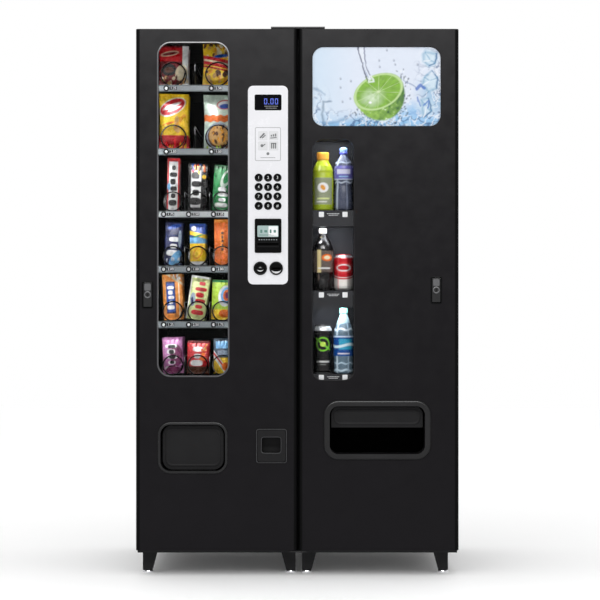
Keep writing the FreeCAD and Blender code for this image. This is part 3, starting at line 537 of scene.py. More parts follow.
def paint(design, u, v, speck_seed=0):
    """Colours of a design at many (u, v) places, as an n by 3 array."""
    base, shapes = design
    colour = np.ones((len(u), 3)) * np.array(base)
    for shape in shapes:
        if shape[0] == "specks":
            _, count, size, (u0, u1, v0, v1), tones = shape
            rng = np.random.default_rng(speck_seed + count)
            for i in range(count):
                cu, cv = rng.uniform(u0, u1), rng.uniform(v0, v1)
                r = size * rng.uniform(0.6, 1.2)
                spot = ("oval", cu, cv, r, r * rng.uniform(0.45, 0.8), rng.uniform(0, 3), None)
                m = mask_of(spot, u, v)[:, None]
                colour = colour * (1 - m) + np.array(tones[i % len(tones)]) * m
            continue
        m = mask_of(shape, u, v)[:, None]
        colour = colour * (1 - m) + np.array(shape[-1]) * m
    return colour


def linear(r, g, b):
    """A display colour, 0 to 255, as linear light."""
    return tuple(((c / 255 + 0.055) / 1.055) ** 2.4 if c > 10 else c / 255 / 12.92 for c in (r, g, b))


RED, DEEP_RED, BROWN = linear(205, 20, 30), linear(120, 14, 22), linear(92, 48, 26)
YELLOW, GOLD, ORANGE = linear(250, 205, 30), linear(236, 160, 20), linear(238, 112, 22)
CREAM, WHITE, TAN = linear(240, 226, 190), linear(240, 240, 240), linear(214, 164, 96)
BLUE, NAVY, SKY = linear(20, 70, 160), linear(18, 30, 84), linear(110, 175, 225)
GREEN, LIME, MINT = linear(16, 130, 64), linear(170, 205, 50), linear(205, 222, 208)
PINK, PLUM, BLACK = linear(205, 130, 190), linear(120, 40, 90), linear(16, 14, 16)
GREY, PALE_LIME = linear(150, 165, 185), linear(222, 232, 160)

DESIGNS = {
    "1a": ((106 * MM, 155 * MM, 28 * MM), 0, (DEEP_RED, [
        ("band", 0.55, 0.86, RED), ("side", 0.78, 1.0, WHITE), ("band", 0.9, 1.0, BLACK),
        ("oval", 0.35, 0.72, 0.30, 0.055, 0.12, CREAM), ("oval", 0.35, 0.72, 0.26, 0.035, 0.12, DEEP_RED),
        ("oval", 0.32, 0.36, 0.24, 0.13, 0, BLACK), ("oval", 0.32, 0.36, 0.16, 0.06, 0, BROWN),
        ("oval", 0.74, 0.30, 0.22, 0.17, 0.3, CREAM),
        ("specks", 16, 0.07, (0.1, 0.95, 0.05, 0.2), (TAN, BROWN, CREAM)),
    ])),
    "1b": ((112 * MM, 155 * MM, 28 * MM), 0, (YELLOW, [
        ("specks", 34, 0.075, (0.05, 0.95, 0.6, 0.97), (TAN, BROWN, GOLD, CREAM)),
        ("slant", 0.42, 0.62, 0.12, RED), ("slant", 0.50, 0.54, 0.12, CREAM),
        ("slant", 0.36, 0.40, 0.12, RED), ("oval", 0.55, 0.67, 0.24, 0.04, 0.1, BLUE),
        ("specks", 26, 0.07, (0.05, 0.95, 0.05, 0.32), (TAN, BROWN, GOLD)), ("band", 0.0, 0.035, RED),
    ])),
    "2a": ((104 * MM, 190 * MM, 28 * MM), 0, (YELLOW, [
        ("oval", 0.44, 0.76, 0.46, 0.15, 0.22, WHITE), ("oval", 0.44, 0.76, 0.43, 0.132, 0.22, RED),
        ("oval", 0.42, 0.775, 0.30, 0.035, 0.22, WHITE), ("oval", 0.5, 0.725, 0.22, 0.022, 0.22, WHITE),
        ("specks", 9, 0.10, (0.5, 0.95, 0.36, 0.6), (GOLD, TAN)),
        ("oval", 0.3, 0.46, 0.2, 0.02, 0.15, ORANGE), ("band", 0.0, 0.25, RED),
        ("specks", 5, 0.06, (0.1, 0.9, 0.02, 0.08), (GOLD,)),
    ])),
    "2b": ((102 * MM, 186 * MM, 28 * MM), 0, (MINT, [
        ("oval", 0.72, 0.82, 0.28, 0.09, 0.05, RED), ("oval", 0.72, 0.82, 0.24, 0.07, 0.05, WHITE),
        ("oval", 0.72, 0.79, 0.2, 0.045, 0.05, BLUE), ("wave", 0.5, 0.62, 4.0, 0.012, ORANGE),
        ("oval", 0.5, 0.24, 0.44, 0.25, 0, GREY), ("oval", 0.5, 0.24, 0.38, 0.215, 0, BROWN),
        ("oval", 0.5, 0.25, 0.34, 0.19, 0, TAN),
        ("specks", 42, 0.05, (0.25, 0.75, 0.12, 0.4), (GOLD, BROWN, TAN)),
        ("specks", 12, 0.05, (0.05, 0.95, 0.0, 0.05), (BROWN, LIME)),
    ])),
    "3a": ((42 * MM, 180 * MM, 8 * MM), 1, (WHITE, [
        ("side", 0.0, 0.13, RED), ("side", 0.87, 1.0, RED), ("band", 0.93, 1.0, RED),
        ("beads", 0.5, 0.08, 0.88, 6, 0.24, BLACK), ("oval", 0.14, 0.45, 0.12, 0.07, 0, SKY),
    ])),
    "3b": ((68 * MM, 160 * MM, 15 * MM), 2, (BLACK, [
        ("box", 0.14, 0.64, 0.06, 0.86, WHITE), ("beads", 0.39, 0.1, 0.84, 4, 0.22, BLACK),
        ("specks", 12, 0.09, (0.2, 0.9, 0.84, 0.97), (BLUE, ORANGE, YELLOW, BROWN, RED)),
        ("oval", 0.8, 0.72, 0.1, 0.045, 0, YELLOW),
    ])),
    "3c": ((66 * MM, 155 * MM, 15 * MM), 4, (GREEN, [
        ("oval", 0.62, 0.7, 0.3, 0.16, 0.5, MINT), ("oval", 0.66, 0.72, 0.2, 0.1, 0.5, GREEN),
        ("beads", 0.5, 0.06, 0.52, 4, 0.24, WHITE), ("band", 0.92, 1.0, linear(10, 90, 44)),
    ])),
    "4a": ((60 * MM, 145 * MM, 15 * MM), 2, (NAVY, [
        ("oval", 0.5, 0.9, 0.4, 0.05, 0.1, BLUE), ("beads", 0.5, 0.2, 0.68, 3, 0.26, WHITE),
        ("oval", 0.62, 0.16, 0.36, 0.13, 0.4, SKY), ("oval", 0.85, 0.62, 0.1, 0.2, 0, GREY),
        ("specks", 10, 0.06, (0.1, 0.9, 0.02, 0.2), (SKY, WHITE)),
    ])),
    "4b": ((54 * MM, 141 * MM, 15 * MM), 0, (SKY, [
        ("band", 0.66, 1.0, BLUE), ("oval", 0.25, 0.88, 0.16, 0.06, 0, WHITE),
        ("slant", 0.68, 0.78, 0.1, YELLOW), ("oval", 0.5, 0.70, 0.36, 0.025, 0.1, GREEN),
        ("band", 0.08, 0.52, YELLOW), ("oval", 0.5, 0.3, 0.34, 0.15, 0.3, GOLD),
        ("oval", 0.5, 0.3, 0.24, 0.1, 0.3, YELLOW), ("band", 0.0, 0.08, WHITE),
    ])),
    "4c": ((54 * MM, 156 * MM, 8 * MM), 0, (ORANGE, [
        ("beads", 0.52, 0.3, 0.74, 5, 0.09, BROWN), ("oval", 0.5, 0.52, 0.16, 0.27, 0, linear(248, 140, 40)),
        ("beads", 0.5, 0.3, 0.74, 5, 0.07, BROWN), ("band", 0.93, 1.0, linear(250, 150, 50)),
    ])),
    "5a": ((68 * MM, 156 * MM, 15 * MM), -2, (linear(240, 150, 62), [
        ("box", 0.16, 0.62, 0.14, 0.84, NAVY), ("box", 0.2, 0.58, 0.18, 0.8, BLUE),
        ("beads", 0.39, 0.22, 0.76, 5, 0.13, WHITE), ("slant", 0.9, 0.96, 0.3, CREAM),
        ("side", 0.78, 0.84, CREAM), ("specks", 9, 0.05, (0.1, 0.9, 0.88, 0.98), (WHITE, TAN)),
    ])),
    "5b": ((66 * MM, 150 * MM, 15 * MM), 8, (PALE_LIME, [
        ("side", 0.0, 0.06, WHITE), ("beads", 0.58, 0.1, 0.9, 6, 0.24, RED),
        ("oval", 0.22, 0.45, 0.13, 0.16, 0.4, GREY), ("oval", 0.2, 0.42, 0.06, 0.09, 0.4, NAVY),
        ("band", 0.95, 1.0, WHITE),
    ])),
    "5c": ((74 * MM, 136 * MM, 15 * MM), 2, (LIME, [
        ("oval", 0.62, 0.6, 0.34, 0.26, 0.2, WHITE), ("oval", 0.66, 0.62, 0.26, 0.2, 0.2, SKY),
        ("oval", 0.68, 0.62, 0.18, 0.14, 0.2, ORANGE), ("oval", 0.7, 0.62, 0.1, 0.08, 0.2, PLUM),
        ("band", 0.0, 0.26, YELLOW), ("oval", 0.6, 0.16, 0.26, 0.1, 0, ORANGE), ("band", 0.94, 1.0, GREEN),
    ])),
    "6a": ((70 * MM, 124 * MM, 15 * MM), -2, (PINK, [
        ("oval", 0.66, 0.5, 0.3, 0.3, 0.2, PLUM), ("beads", 0.42, 0.08, 0.84, 5, 0.22, WHITE),
        ("beads", 0.44, 0.1, 0.82, 5, 0.14, BLACK), ("oval", 0.5, 0.1, 0.4, 0.1, 0, PLUM),
    ])),
    "6b": ((76 * MM, 111 * MM, 15 * MM), 1, (RED, [
        ("band", 0.0, 0.22, BROWN), ("beads", 0.45, 0.22, 0.86, 3, 0.2, WHITE),
        ("beads", 0.72, 0.4, 0.8, 3, 0.12, ORANGE), ("band", 0.95, 1.0, DEEP_RED),
        ("specks", 5, 0.05, (0.75, 0.95, 0.75, 0.92), (GOLD, WHITE)),
    ])),
    "6c": ((60 * MM, 120 * MM, 15 * MM), 0, (linear(70, 86, 104), [
        ("box", 0.12, 0.88, 0.72, 0.92, SKY), ("box", 0.22, 0.8, 0.54, 0.66, GREY),
        ("band", 0.0, 0.46, YELLOW), ("slant", 0.1, 0.32, 0.7, WHITE), ("slant", 0.2, 0.28, 0.7, RED),
        ("oval", 0.66, 0.2, 0.2, 0.12, 0, ORANGE),
    ])),
}


# ---------------------------------------------------------------- snack packs


def pack_grid(size, columns, rows, crimp):
    """Front-side surface of a sealed pack: (u, v, x, z, half thickness), with wrinkles at the seals."""
    width, height, depth = size
    u = np.linspace(0, 1, columns + 1)[None, :] * np.ones((rows + 1, 1))
    v = np.linspace(0, 1, rows + 1)[:, None] * np.ones((1, columns + 1))
    across, up = np.abs(2 * u - 1), np.abs(2 * v - 1)
    seal = crimp / height * 2
    inside = np.clip((1 - seal - up) / (1 - seal), 0, 1)
    belly = (1 - across ** 2.1) ** 0.72 * np.clip(1 - (1 - inside) ** 2.1, 0, 1) ** 0.8
    thick = depth / 2 * belly
    pinch = 1 - 0.06 * np.sin(math.pi * v) ** 2
    x = (u - 0.5) * width * (pinch if depth > 20 * MM else 1)
    z = v * height
    near_seal = np.exp(-((1 - seal - up) / 0.16) ** 2) * (up < 1 - seal * 0.4)
    folds = np.sin(u * 31 + 3 * np.sin(v * 9)) * 0.5 + np.sin(u * 57 + v * 13) * 0.3
    thick = thick + depth * 0.085 * folds * near_seal * (1 - across ** 4)
    thick = thick + depth * 0.05 * (np.sin(u * 9 + v * 7.3) + np.sin(u * 4.1 - v * 11)) * belly * 0.6
    return u, v, x, z, np.maximum(thick, 0.00025)


def add_pack(bm, layer, size, design, centre, foot_z, yaw, lean, fine, seed):
    """One sealed pack, front and back skins joined round the edge, standing on foot_z."""
    bag = size[2] > 20 * MM
    columns, rows = ((56, 88) if bag else (44, 84)) if fine else ((14, 22) if bag else (10, 18))
    crimp = 9 * MM if bag else 7 * MM
    u, v, x, z, thick = pack_grid(size, columns, rows, crimp)
    turn = Matrix.Rotation(math.radians(yaw), 4, "Z") @ Matrix.Rotation(math.radians(lean), 4, "Y")
    tones = paint(design, u.ravel(), v.ravel(), seed)
    # Painted shade and highlights of the film's wrinkles: the print is darkened and lightened along a random
    # crease pattern, more strongly in an upright band near u = 0.22, and the brightest folds are lifted
    # further as painted highlights.
    wrinkle_shading = ripple(u.ravel() * 2.2, v.ravel() * 3.0, seed, 5, 4)
    dip_shading = ripple(u.ravel(), v.ravel() * 2, seed + 1, 7, 2)
    wrinkle_shading = wrinkle_shading + 0.5 * np.exp(-((u.ravel() - 0.22) / 0.05) ** 2) * dip_shading
    tones = np.clip(tones * (1 + 0.45 * wrinkle_shading[:, None]) + 0.05 * np.clip(wrinkle_shading[:, None] - 0.35, 0, 1), 0, 1)
    back_tones = paint((design[0], []), u.ravel(), v.ravel())
    serration = 0.7 * MM
    sheets = []
    for sign, colours in ((-1, tones), (1, back_tones)):
        grid = []
        for r in range(rows + 1):
            row = []
            for c in range(columns + 1):
                k = r * (columns + 1) + c
                pz = z[r, c]
                if fine and r in (0, rows):
                    pz += serration * (1 if c % 2 else -1)
                local = turn @ Vector((x[r, c], sign * thick[r, c], pz - size[1] / 2))
                vert = bm.verts.new(local + Vector((centre[0], centre[1], foot_z + size[1] / 2)))
                row.append((vert, colours[k]))
            grid.append(row)
        sheets.append(grid)

    def skin(*corners):
        tint(bm.faces.new([vert for vert, _ in corners]), layer, [tone for _, tone in corners])

    front, back = sheets
    for r in range(rows):
        for c in range(columns):
            skin(front[r][c], front[r][c + 1], front[r + 1][c + 1], front[r + 1][c])
            skin(back[r][c + 1], back[r][c], back[r + 1][c], back[r + 1][c + 1])
    rim = [(0, c) for c in range(columns)] + [(r, columns) for r in range(rows)]
    rim += [(rows, c) for c in range(columns, 0, -1)] + [(r, 0) for r in range(rows, 0, -1)]
    for i, (r, c) in enumerate(rim):
        r2, c2 = rim[(i + 1) % len(rim)]
        skin(front[r2][c2], front[r][c], back[r][c], back[r2][c2])


def stock_lane(code):
    """Packs stand in the gaps of their spiral, turned a little so that its wire passes them."""
    (x, z), (radius, pitch), _ = lane_facts("spiral_" + code)
    size, lean, design = DESIGNS[code]
    bag = size[2] > 20 * MM
    count = 2 if bag else 3
    foot = z - radius + WIRE + 1.2 * MM
    yaw = 12 if bag else 10
    bm = bmesh.new()
    layer = bm.loops.layers.float_color.new("print")
    for i in range(1, count + 1):
        slip = random.uniform(-1, 1)
        add_pack(bm, layer, size, design, (x + slip * MM, COIL_START + pitch * i), foot,
                 yaw + slip, lean + slip * 0.7, i == 1, ord(code[0]))
    raw_piece("packs_" + code, bm, WRAPPER, "root", smooth=70)


for lane in LANES:
    stock_lane(lane[-2:])

# ---------------------------------------------------------------- numbers cut as flat meshes


def text_mesh(name, text, size, centre, y, material, body, depth=0.15 * MM):
    """Digits as a thin raised mesh that faces the front."""
    curve = bpy.data.curves.new(name + "_curve", "FONT")
    curve.body = text
    curve.size = size
    curve.align_x = "CENTER"
    curve.align_y = "CENTER"
    curve.extrude = depth / 2
    curve.resolution_u = 3
    temporary = bpy.data.objects.new(name + "_curve", curve)
    bpy.context.scene.collection.objects.link(temporary)
    bpy.context.view_layer.update()
    mesh = bpy.data.meshes.new_from_object(temporary.evaluated_get(bpy.context.evaluated_depsgraph_get()))
    bpy.data.objects.remove(temporary)
    bpy.data.curves.remove(curve)
    mesh.name = name
    mesh.transform(Matrix.Translation((centre[0], y, centre[1])) @ Matrix.Rotation(math.pi / 2, 4, "X"))
    mesh.materials.clear()
    return put_piece(name, mesh, material, body)


# ---------------------------------------------------------------- price rails

RAIL_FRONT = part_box("snack_trays")[0].y
TRAY_LOW, TRAY_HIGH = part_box("snack_trays")
TRAY_FLOOR, RAIL_HEIGHT, RAIL_DROP = 5 * MM, 21 * MM, 14 * MM
PALE_RAIL = 3


def rail_of(code):
    """Lower edge of the lane's rail, worked back from its spiral's lowest point."""
    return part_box("spiral_" + code)[0].z - 1.5 * MM - TRAY_FLOOR - RAIL_DROP


def disc(bm, x, z, radius, y_back, y_front, segments=28):
    add_lathe(bm, ((radius, y_back), (radius, y_front + 0.0002), (radius - 0.0003, y_front)), (x, 0, z), "Y",
              segments)


def rail_labels():
    discs, rings, tags, marks = bmesh.new(), bmesh.new(), bmesh.new(), bmesh.new()
    for lane in LANES:
        code = lane[-2:]
        (x, _), _, _ = lane_facts(lane)
        middle = rail_of(code) + RAIL_HEIGHT / 2
        left = x - (20 if code[0] in "12" else 28) * MM
        disc(discs, left, middle, 5.2 * MM, RAIL_FRONT, RAIL_FRONT - 0.5 * MM)
        disc(rings, left, middle, 9.9 * MM, RAIL_FRONT, RAIL_FRONT - 0.4 * MM)
        tag = (left + 11 * MM, left + 36 * MM, middle - 5.5 * MM, middle + 5.5 * MM, 1 * MM)
        add_pad(tags, tag, RAIL_FRONT, RAIL_FRONT - 0.7 * MM, 0.2 * MM)
        number = f"{'123456'.index(code[0]) + 1}{'abc'.index(code[1]) * 2}"
        text_mesh("rail_number_" + code, number, 11 * MM, (left, middle), RAIL_FRONT - 0.55 * MM, RAIL_INK,
                  "root")
        price = f"{1 + (ord(code[0]) + ord(code[1])) % 2}.{25 * ((ord(code[0]) * ord(code[1])) % 4):02d}"
        text_mesh("rail_price_" + code, price, 12 * MM, (left + 24 * MM, middle), RAIL_FRONT - 0.75 * MM,
                  LABEL_WHITE, "root")
        for side in (-1, 1):
            disc(marks, left, middle + side * 9.6 * MM, 0.6 * MM, RAIL_FRONT, RAIL_FRONT - 0.4 * MM, 10)
    piece("rail_discs", discs, LABEL_WHITE, "root", smooth=40)
    piece("rail_disc_rings", rings, RAIL_INK, "root", smooth=40)
    piece("rail_tags", tags, RAIL_INK, "root", smooth=40)
    piece("rail_rivets", marks, CHROME, "root", smooth=40)
    strips, faces, pale = bmesh.new(), bmesh.new(), bmesh.new()
    for number in range(1, 7):
        base = rail_of(f"{number}a")
        lanes = 2 if number < 3 else 3
        for height, back, radius in ((base + RAIL_HEIGHT, 1.5 * MM, 1.2 * MM), (base, 1.2 * MM, 1.1 * MM)):
            ends = [(x, RAIL_FRONT + back, height) for x in (TRAY_LOW.x, TRAY_HIGH.x)]
            add_tube(strips, ends, radius, 10)
        for i in range(lanes):
            x = mix(TRAY_LOW.x, TRAY_HIGH.x, (i + 0.97) / (lanes + 0.1))
            disc(strips, x, base + RAIL_HEIGHT / 2, 2.2 * MM, RAIL_FRONT, RAIL_FRONT - 0.3 * MM, 14)
        low = (TRAY_LOW.x + 0.5 * MM, RAIL_FRONT - 0.3 * MM, base + 1.5 * MM)
        high = (TRAY_HIGH.x - 0.5 * MM, RAIL_FRONT - 0.02 * MM, base + RAIL_HEIGHT - 1.5 * MM)
        add_box(pale if number == PALE_RAIL else faces, low, high)
    piece("rail_rolled_edges", strips, TRAY, "root", smooth=40)
    piece("rail_faces", faces, TRAY, "root")
    piece("rail_face_pale", pale, WHITE_STRIP, "root")


rail_labels()


GUIDE_FRONT, GUIDE_BACK, GUIDE_BEND = -0.2525, 0.12, 10 * MM


def divider_wires():
    """Bent-wire side guides by the dividers, one between every two lanes of a tray."""
    bm = bmesh.new()
    for lane in LANES:
        code = lane[-2:]
        (x, _), (radius, _), _ = lane_facts(lane)
        if code[1] == "a":
            continue
        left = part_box("spiral_" + code[0] + chr(ord(code[1]) - 1))
        edge = (x - radius - WIRE + left[1].x) / 2
        base = rail_of(code) + RAIL_DROP + TRAY_FLOOR
        tall = 86 * MM if code[0] in "12" else 72 * MM
        top = base + tall * 0.8
        points = [(edge, GUIDE_FRONT + 0.5 * MM, base), (edge, GUIDE_FRONT, top)]
        for i in range(7):
            a = math.radians(15 * i)
            depth, rise = GUIDE_BEND * (1 - math.cos(a)), GUIDE_BEND * math.sin(a)
            points.append((edge, GUIDE_FRONT + depth, top + rise))
        points.append((edge, GUIDE_BACK, top + GUIDE_BEND))
        add_tube(bm, points, 1.1 * MM, 8)
    piece("lane_guides", bm, DARK_STEEL, "root", smooth=50)


divider_wires()

# ---------------------------------------------------------------- control panel

PANEL_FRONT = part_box("control_panel")[0].y
PANEL_MID = sum(corner.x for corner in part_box("control_panel")) / 2
CARD_Z = (1.385, 1.497)
SCREEN_Z = (1.131, 1.169)
NOTE_SLOT_Z = (1.104, 1.110)


def display():
    """Segment digits behind the dark lens: a zero, a point and two zeros."""
    (x0, x1, z0, z1), lens_front, _ = flat_box("display_lens")
    lit = bmesh.new()
    y = lens_front - 0.0002
    tall, wide, bar = 19 * MM, 10 * MM, 2.1 * MM
    middle = (x0 + x1) / 2 + 15 * MM
    low = z0 + 19 * MM
    for start in (-28 * MM, -7 * MM, 8 * MM):
        left = middle + start
        for bx0, bx1, bz0, bz1 in (
            (0, wide, 0, bar), (0, wide, tall - bar, tall),
            (0, bar, bar * 1.2, tall / 2 - bar * 0.2), (0, bar, tall / 2 + bar * 0.2, tall - bar * 1.2),
            (wide - bar, wide, bar * 1.2, tall / 2 - bar * 0.2),
            (wide - bar, wide, tall / 2 + bar * 0.2, tall - bar * 1.2),
        ):
            add_pad(lit, (left + bx0, left + bx1, low + bz0, low + bz1, 0.7 * MM), y + 0.0001, y, steps=3)
    disc(lit, middle - 12.5 * MM, low + bar / 2, 1.6 * MM, y + 0.0001, y, 14)
    piece("display_digits", lit, BLUE_DIGITS, "snack_door")
    frame_line = bmesh.new()
    add_frame(frame_line, (x0 - 1.5 * MM, x1 + 1.5 * MM, z0 - 1.5 * MM, z1 + 1.5 * MM, 5 * MM), (
        (0, PANEL_FRONT), (0.0004, PANEL_FRONT - 0.0006), (0.0018, PANEL_FRONT - 0.0006),
        (0.0024, PANEL_FRONT)))
    piece("display_bezel", frame_line, BLACK_SATIN, "snack_door", smooth=40)
    dots = bmesh.new()
    for row, count in ((0, 8), (1, 10)):
        for i in range(count):
            x = middle + (i - count / 2 - 0.5) * 4.6 * MM
            low_z = z0 + (5 + 6.5 * row) * MM
            add_tile(dots, x, low_z + 1 * MM, 1.7 * MM, 1 * MM, 0.4 * MM, y + 0.0001, y, steps=2)
    piece("display_dashes", dots, INK_GREY, "snack_door")


display()


def instruction_card():
    """A card of four wordless pictures: choose, pay by note, pay by coin, take."""
    x0, x1, (z0, z1) = PANEL_MID - 43 * MM, PANEL_MID + 43 * MM, CARD_Z
    y = PANEL_FRONT - 0.0001
    lines = bmesh.new()
    line = 1.7 * MM
    add_frame(lines, (x0, x1, z0, z1, 5 * MM), ((0, y), (0, y - 0.00008), (line, y - 0.00008), (line, y)),
              steps=5)
    icons = bmesh.new()
    cell_x = (PANEL_MID - 17 * MM, PANEL_MID + 19 * MM)
    cell_z = (z1 - 28 * MM, z1 - 62 * MM)
    cells = bmesh.new()
    for cx in cell_x:
        for cz in cell_z:
            add_tile(cells, cx, cz, 16 * MM, 15 * MM, 3 * MM, y, y - 0.00006)
    piece("card_cells", cells, coated("card_cell", (0.60, 0.605, 0.62), 0.5, 400, 0.00001, 0.03),
          "snack_door")

    def flat(bx0, bx1, bz0, bz1, radius=0.8 * MM):
        add_pad(icons, (bx0, bx1, bz0, bz1, radius), y, y - 0.0001, steps=3)

    def bar_at(start, end, width):
        """A slanted bar, as a thin rounded tube pressed on the card."""
        add_tube(icons, [(start[0], y, start[1]), (end[0], y, end[1])], width / 2, 6)

    cx, cz = cell_x[0], cell_z[0]
    bar_at((cx - 9 * MM, cz - 7 * MM), (cx + 5 * MM, cz + 8 * MM), 5 * MM)
    bar_at((cx - 2 * MM, cz - 8 * MM), (cx + 9 * MM, cz + 2 * MM), 3 * MM)
    cx = cell_x[1]
    for i in range(3):
        flat(cx + (-10 + 7 * i) * MM, cx + (-5 + 7 * i) * MM, cz - 3 * MM, cz + (3 + 2 * i) * MM)
    bar_at((cx - 11 * MM, cz - 8 * MM), (cx + 10 * MM, cz - 6 * MM), 3 * MM)
    cx, cz = cell_x[0], cell_z[1]
    disc(icons, cx - 3 * MM, cz + 1 * MM, 5 * MM, y, y - 0.0002, 24)
    bar_at((cx - 4 * MM, cz - 3 * MM), (cx + 8 * MM, cz + 6 * MM), 3 * MM)
    cx = cell_x[1]
    for i in range(3):
        flat(cx + (-9 + 6.5 * i) * MM, cx + (-4.5 + 6.5 * i) * MM, cz - 9 * MM, cz + 9 * MM)
    flat(cx - 9 * MM, cx + 9 * MM, cz + 7 * MM, cz + 10 * MM)
    disc(icons, PANEL_MID, z0 + 24 * MM, 5 * MM, y, y - 0.00015, 16)
    flat(x0 + 18 * MM, x1 - 18 * MM, z0 + 10 * MM, z0 + 11.4 * MM, 0.4 * MM)
    piece("card_lines", lines, INK_GREY, "snack_door")
    piece("card_icons", icons, CARD_INK, "snack_door")


instruction_card()


def key_faces():
    """Pale digits on the keys, with small raised rims round them."""
    marks = {"star": "*", "hash": "#"}
    rims = bmesh.new()
    for name in sorted(NODES):
        if not name.startswith("key_"):
            continue
        mark = name[4:]
        low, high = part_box(name)
        x, z = (low.x + high.x) / 2, (low.z + high.z) / 2
        add_z = -3 * MM if mark == "star" else 0
        text_mesh("digit_" + mark, marks.get(mark, mark), 13 * MM, (x, z + add_z), low.y - 0.0001, KEY_MARK,
                  f"key_{mark}_cap", 0.3 * MM)
        add_round_rim(rims, x, z, (
            (0.0152, PANEL_FRONT), (0.0152, PANEL_FRONT - 0.0006), (0.0146, PANEL_FRONT - 0.0010),
            (0.0137, PANEL_FRONT - 0.0008), (0.01345, PANEL_FRONT)), 36)
    piece("key_rims", rims, PANEL, "snack_door", smooth=50)


key_faces()


def validator_details():
    """A lit screen with plain pictures, a row of lamps and the lips of the note slot."""
    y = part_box("bill_validator")[0].y
    screen = (PANEL_MID - 35 * MM, PANEL_MID + 35 * MM, *SCREEN_Z, 3 * MM)
    bm = bmesh.new()
    add_pad(bm, screen, y, y - 0.7 * MM, 0.4 * MM)
    piece("validator_screen", bm, SCREEN, "snack_door", smooth=40)
    pale = bmesh.new()
    half = (PANEL_MID + 2 * MM, PANEL_MID + 33 * MM, SCREEN_Z[0] + 2 * MM, SCREEN_Z[1] - 2 * MM, 2 * MM)
    add_pad(pale, half, y - 0.6 * MM, y - 0.78 * MM)
    piece("validator_screen_half", pale, LABEL_WHITE, "snack_door", smooth=40)
    pics = bmesh.new()
    for dx, w, h in ((-22, 7, 11), (-7, 10, 8), (9, 6, 12), (23, 8, 9)):
        add_tile(pics, PANEL_MID + dx * MM, sum(SCREEN_Z) / 2, w * MM / 2, h * MM / 2, 1.5 * MM, y - 0.7 * MM,
                 y - 0.92 * MM, steps=3)
    for i in range(3):
        low = SCREEN_Z[0] + (3.5 + 2.2 * i) * MM
        line = (PANEL_MID - 29 * MM, PANEL_MID + (29 - 9 * i) * MM, low, low + 0.8 * MM, 0.3 * MM)
        add_pad(pics, line, y - 0.7 * MM, y - 0.85 * MM, steps=2)
    piece("validator_pictures", pics, coated("screen_ink", (0.06, 0.2, 0.16), 0.4, 300, 0.00001, 0.3),
          "snack_door")
    lips = bmesh.new()
    slot_low, slot_high = NOTE_SLOT_Z
    for bottom, top in ((slot_low - 9 * MM, slot_low - 0.4 * MM), (slot_high + 0.4 * MM, slot_high + 7 * MM)):
        add_pad(lips, (PANEL_MID - 37 * MM, PANEL_MID + 37 * MM, bottom, top, 3 * MM), y,
                y + 0.4 * MM - 0.003, 2.0 * MM)
    piece("note_lips", lips, BLACK_SATIN, "snack_door", smooth=40)
    lamps = bmesh.new()
    for i in range(8):
        x = PANEL_MID + (i - 3.5) * 8.2 * MM
        add_tile(lamps, x, SCREEN_Z[0] - 9 * MM, 2.2 * MM, 1.5 * MM, 0.8 * MM, y, y - 0.3 * MM, steps=3)
    piece("note_lamps", lamps, coated("lamp_smoke", (0.25, 0.28, 0.29), 0.3, 300, 0.00001, 0.2), "snack_door")


validator_details()


def coin_rings():
    """Rolled rims on the coin slot and the return button, chrome crescents below the slot and on the button
    that stand for a coin guide plate and a dished cap and also serve as painted highlights, and the button's
    mark.
    """
    low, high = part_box("coin_fittings")
    z = (low.z + high.z) / 2
    radius = (high.z - low.z) / 2
    rims, marks = bmesh.new(), bmesh.new()
    for x in (low.x + radius, high.x - radius):
        add_round_rim(rims, x, z, (
            (radius - 0.0005, low.y + 0.002), (radius - 0.0008, low.y - 0.0006),
            (radius - 0.0025, low.y - 0.0012), (radius - 0.0045, low.y - 0.0005),
            (radius - 0.0050, low.y + 0.0010)), 48)
    piece("coin_rims", rims, BLACK_SATIN, "snack_door", smooth=50)
    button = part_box("coin_return_button")
    # The chrome crescents sit where the fittings' highlights fall: partly real metal, partly painted
    # highlight.
    for name, x, y, reach, body in (
        ("slot_highlight_crescent", high.x - radius, low.y, radius - 5.5 * MM, "snack_door"),
        ("button_highlight_crescent", (button[0].x + button[1].x) / 2, button[0].y, 11 * MM, "coin_button"),
    ):
        shine = bmesh.new()
        arc = [math.radians(200 + 140 * i / 20) for i in range(21)]
        outline = [(x + reach * math.cos(a), z + reach * math.sin(a)) for a in arc]
        for a in reversed(arc[1:-1]):
            outline.append((x + reach * math.cos(a), z + reach * (math.sin(a) * 0.45 - 0.19)))
        add_capped(shine, [[(px, depth, pz) for px, pz in outline] for depth in (y, y - 0.0004)])
        piece(name, shine, CHROME, body)
    for i in range(3):
        add_tile(marks, low.x + radius, z + (1.6 + i * 1.4) * MM, (4.5 - 1.5 * i) * MM, 0.6 * MM, 0.3 * MM,
                 button[0].y, button[0].y - 0.0001, steps=2)
    piece("button_mark", marks, INK_GREY, "coin_button")


coin_rings()

# ---------------------------------------------------------------- locks


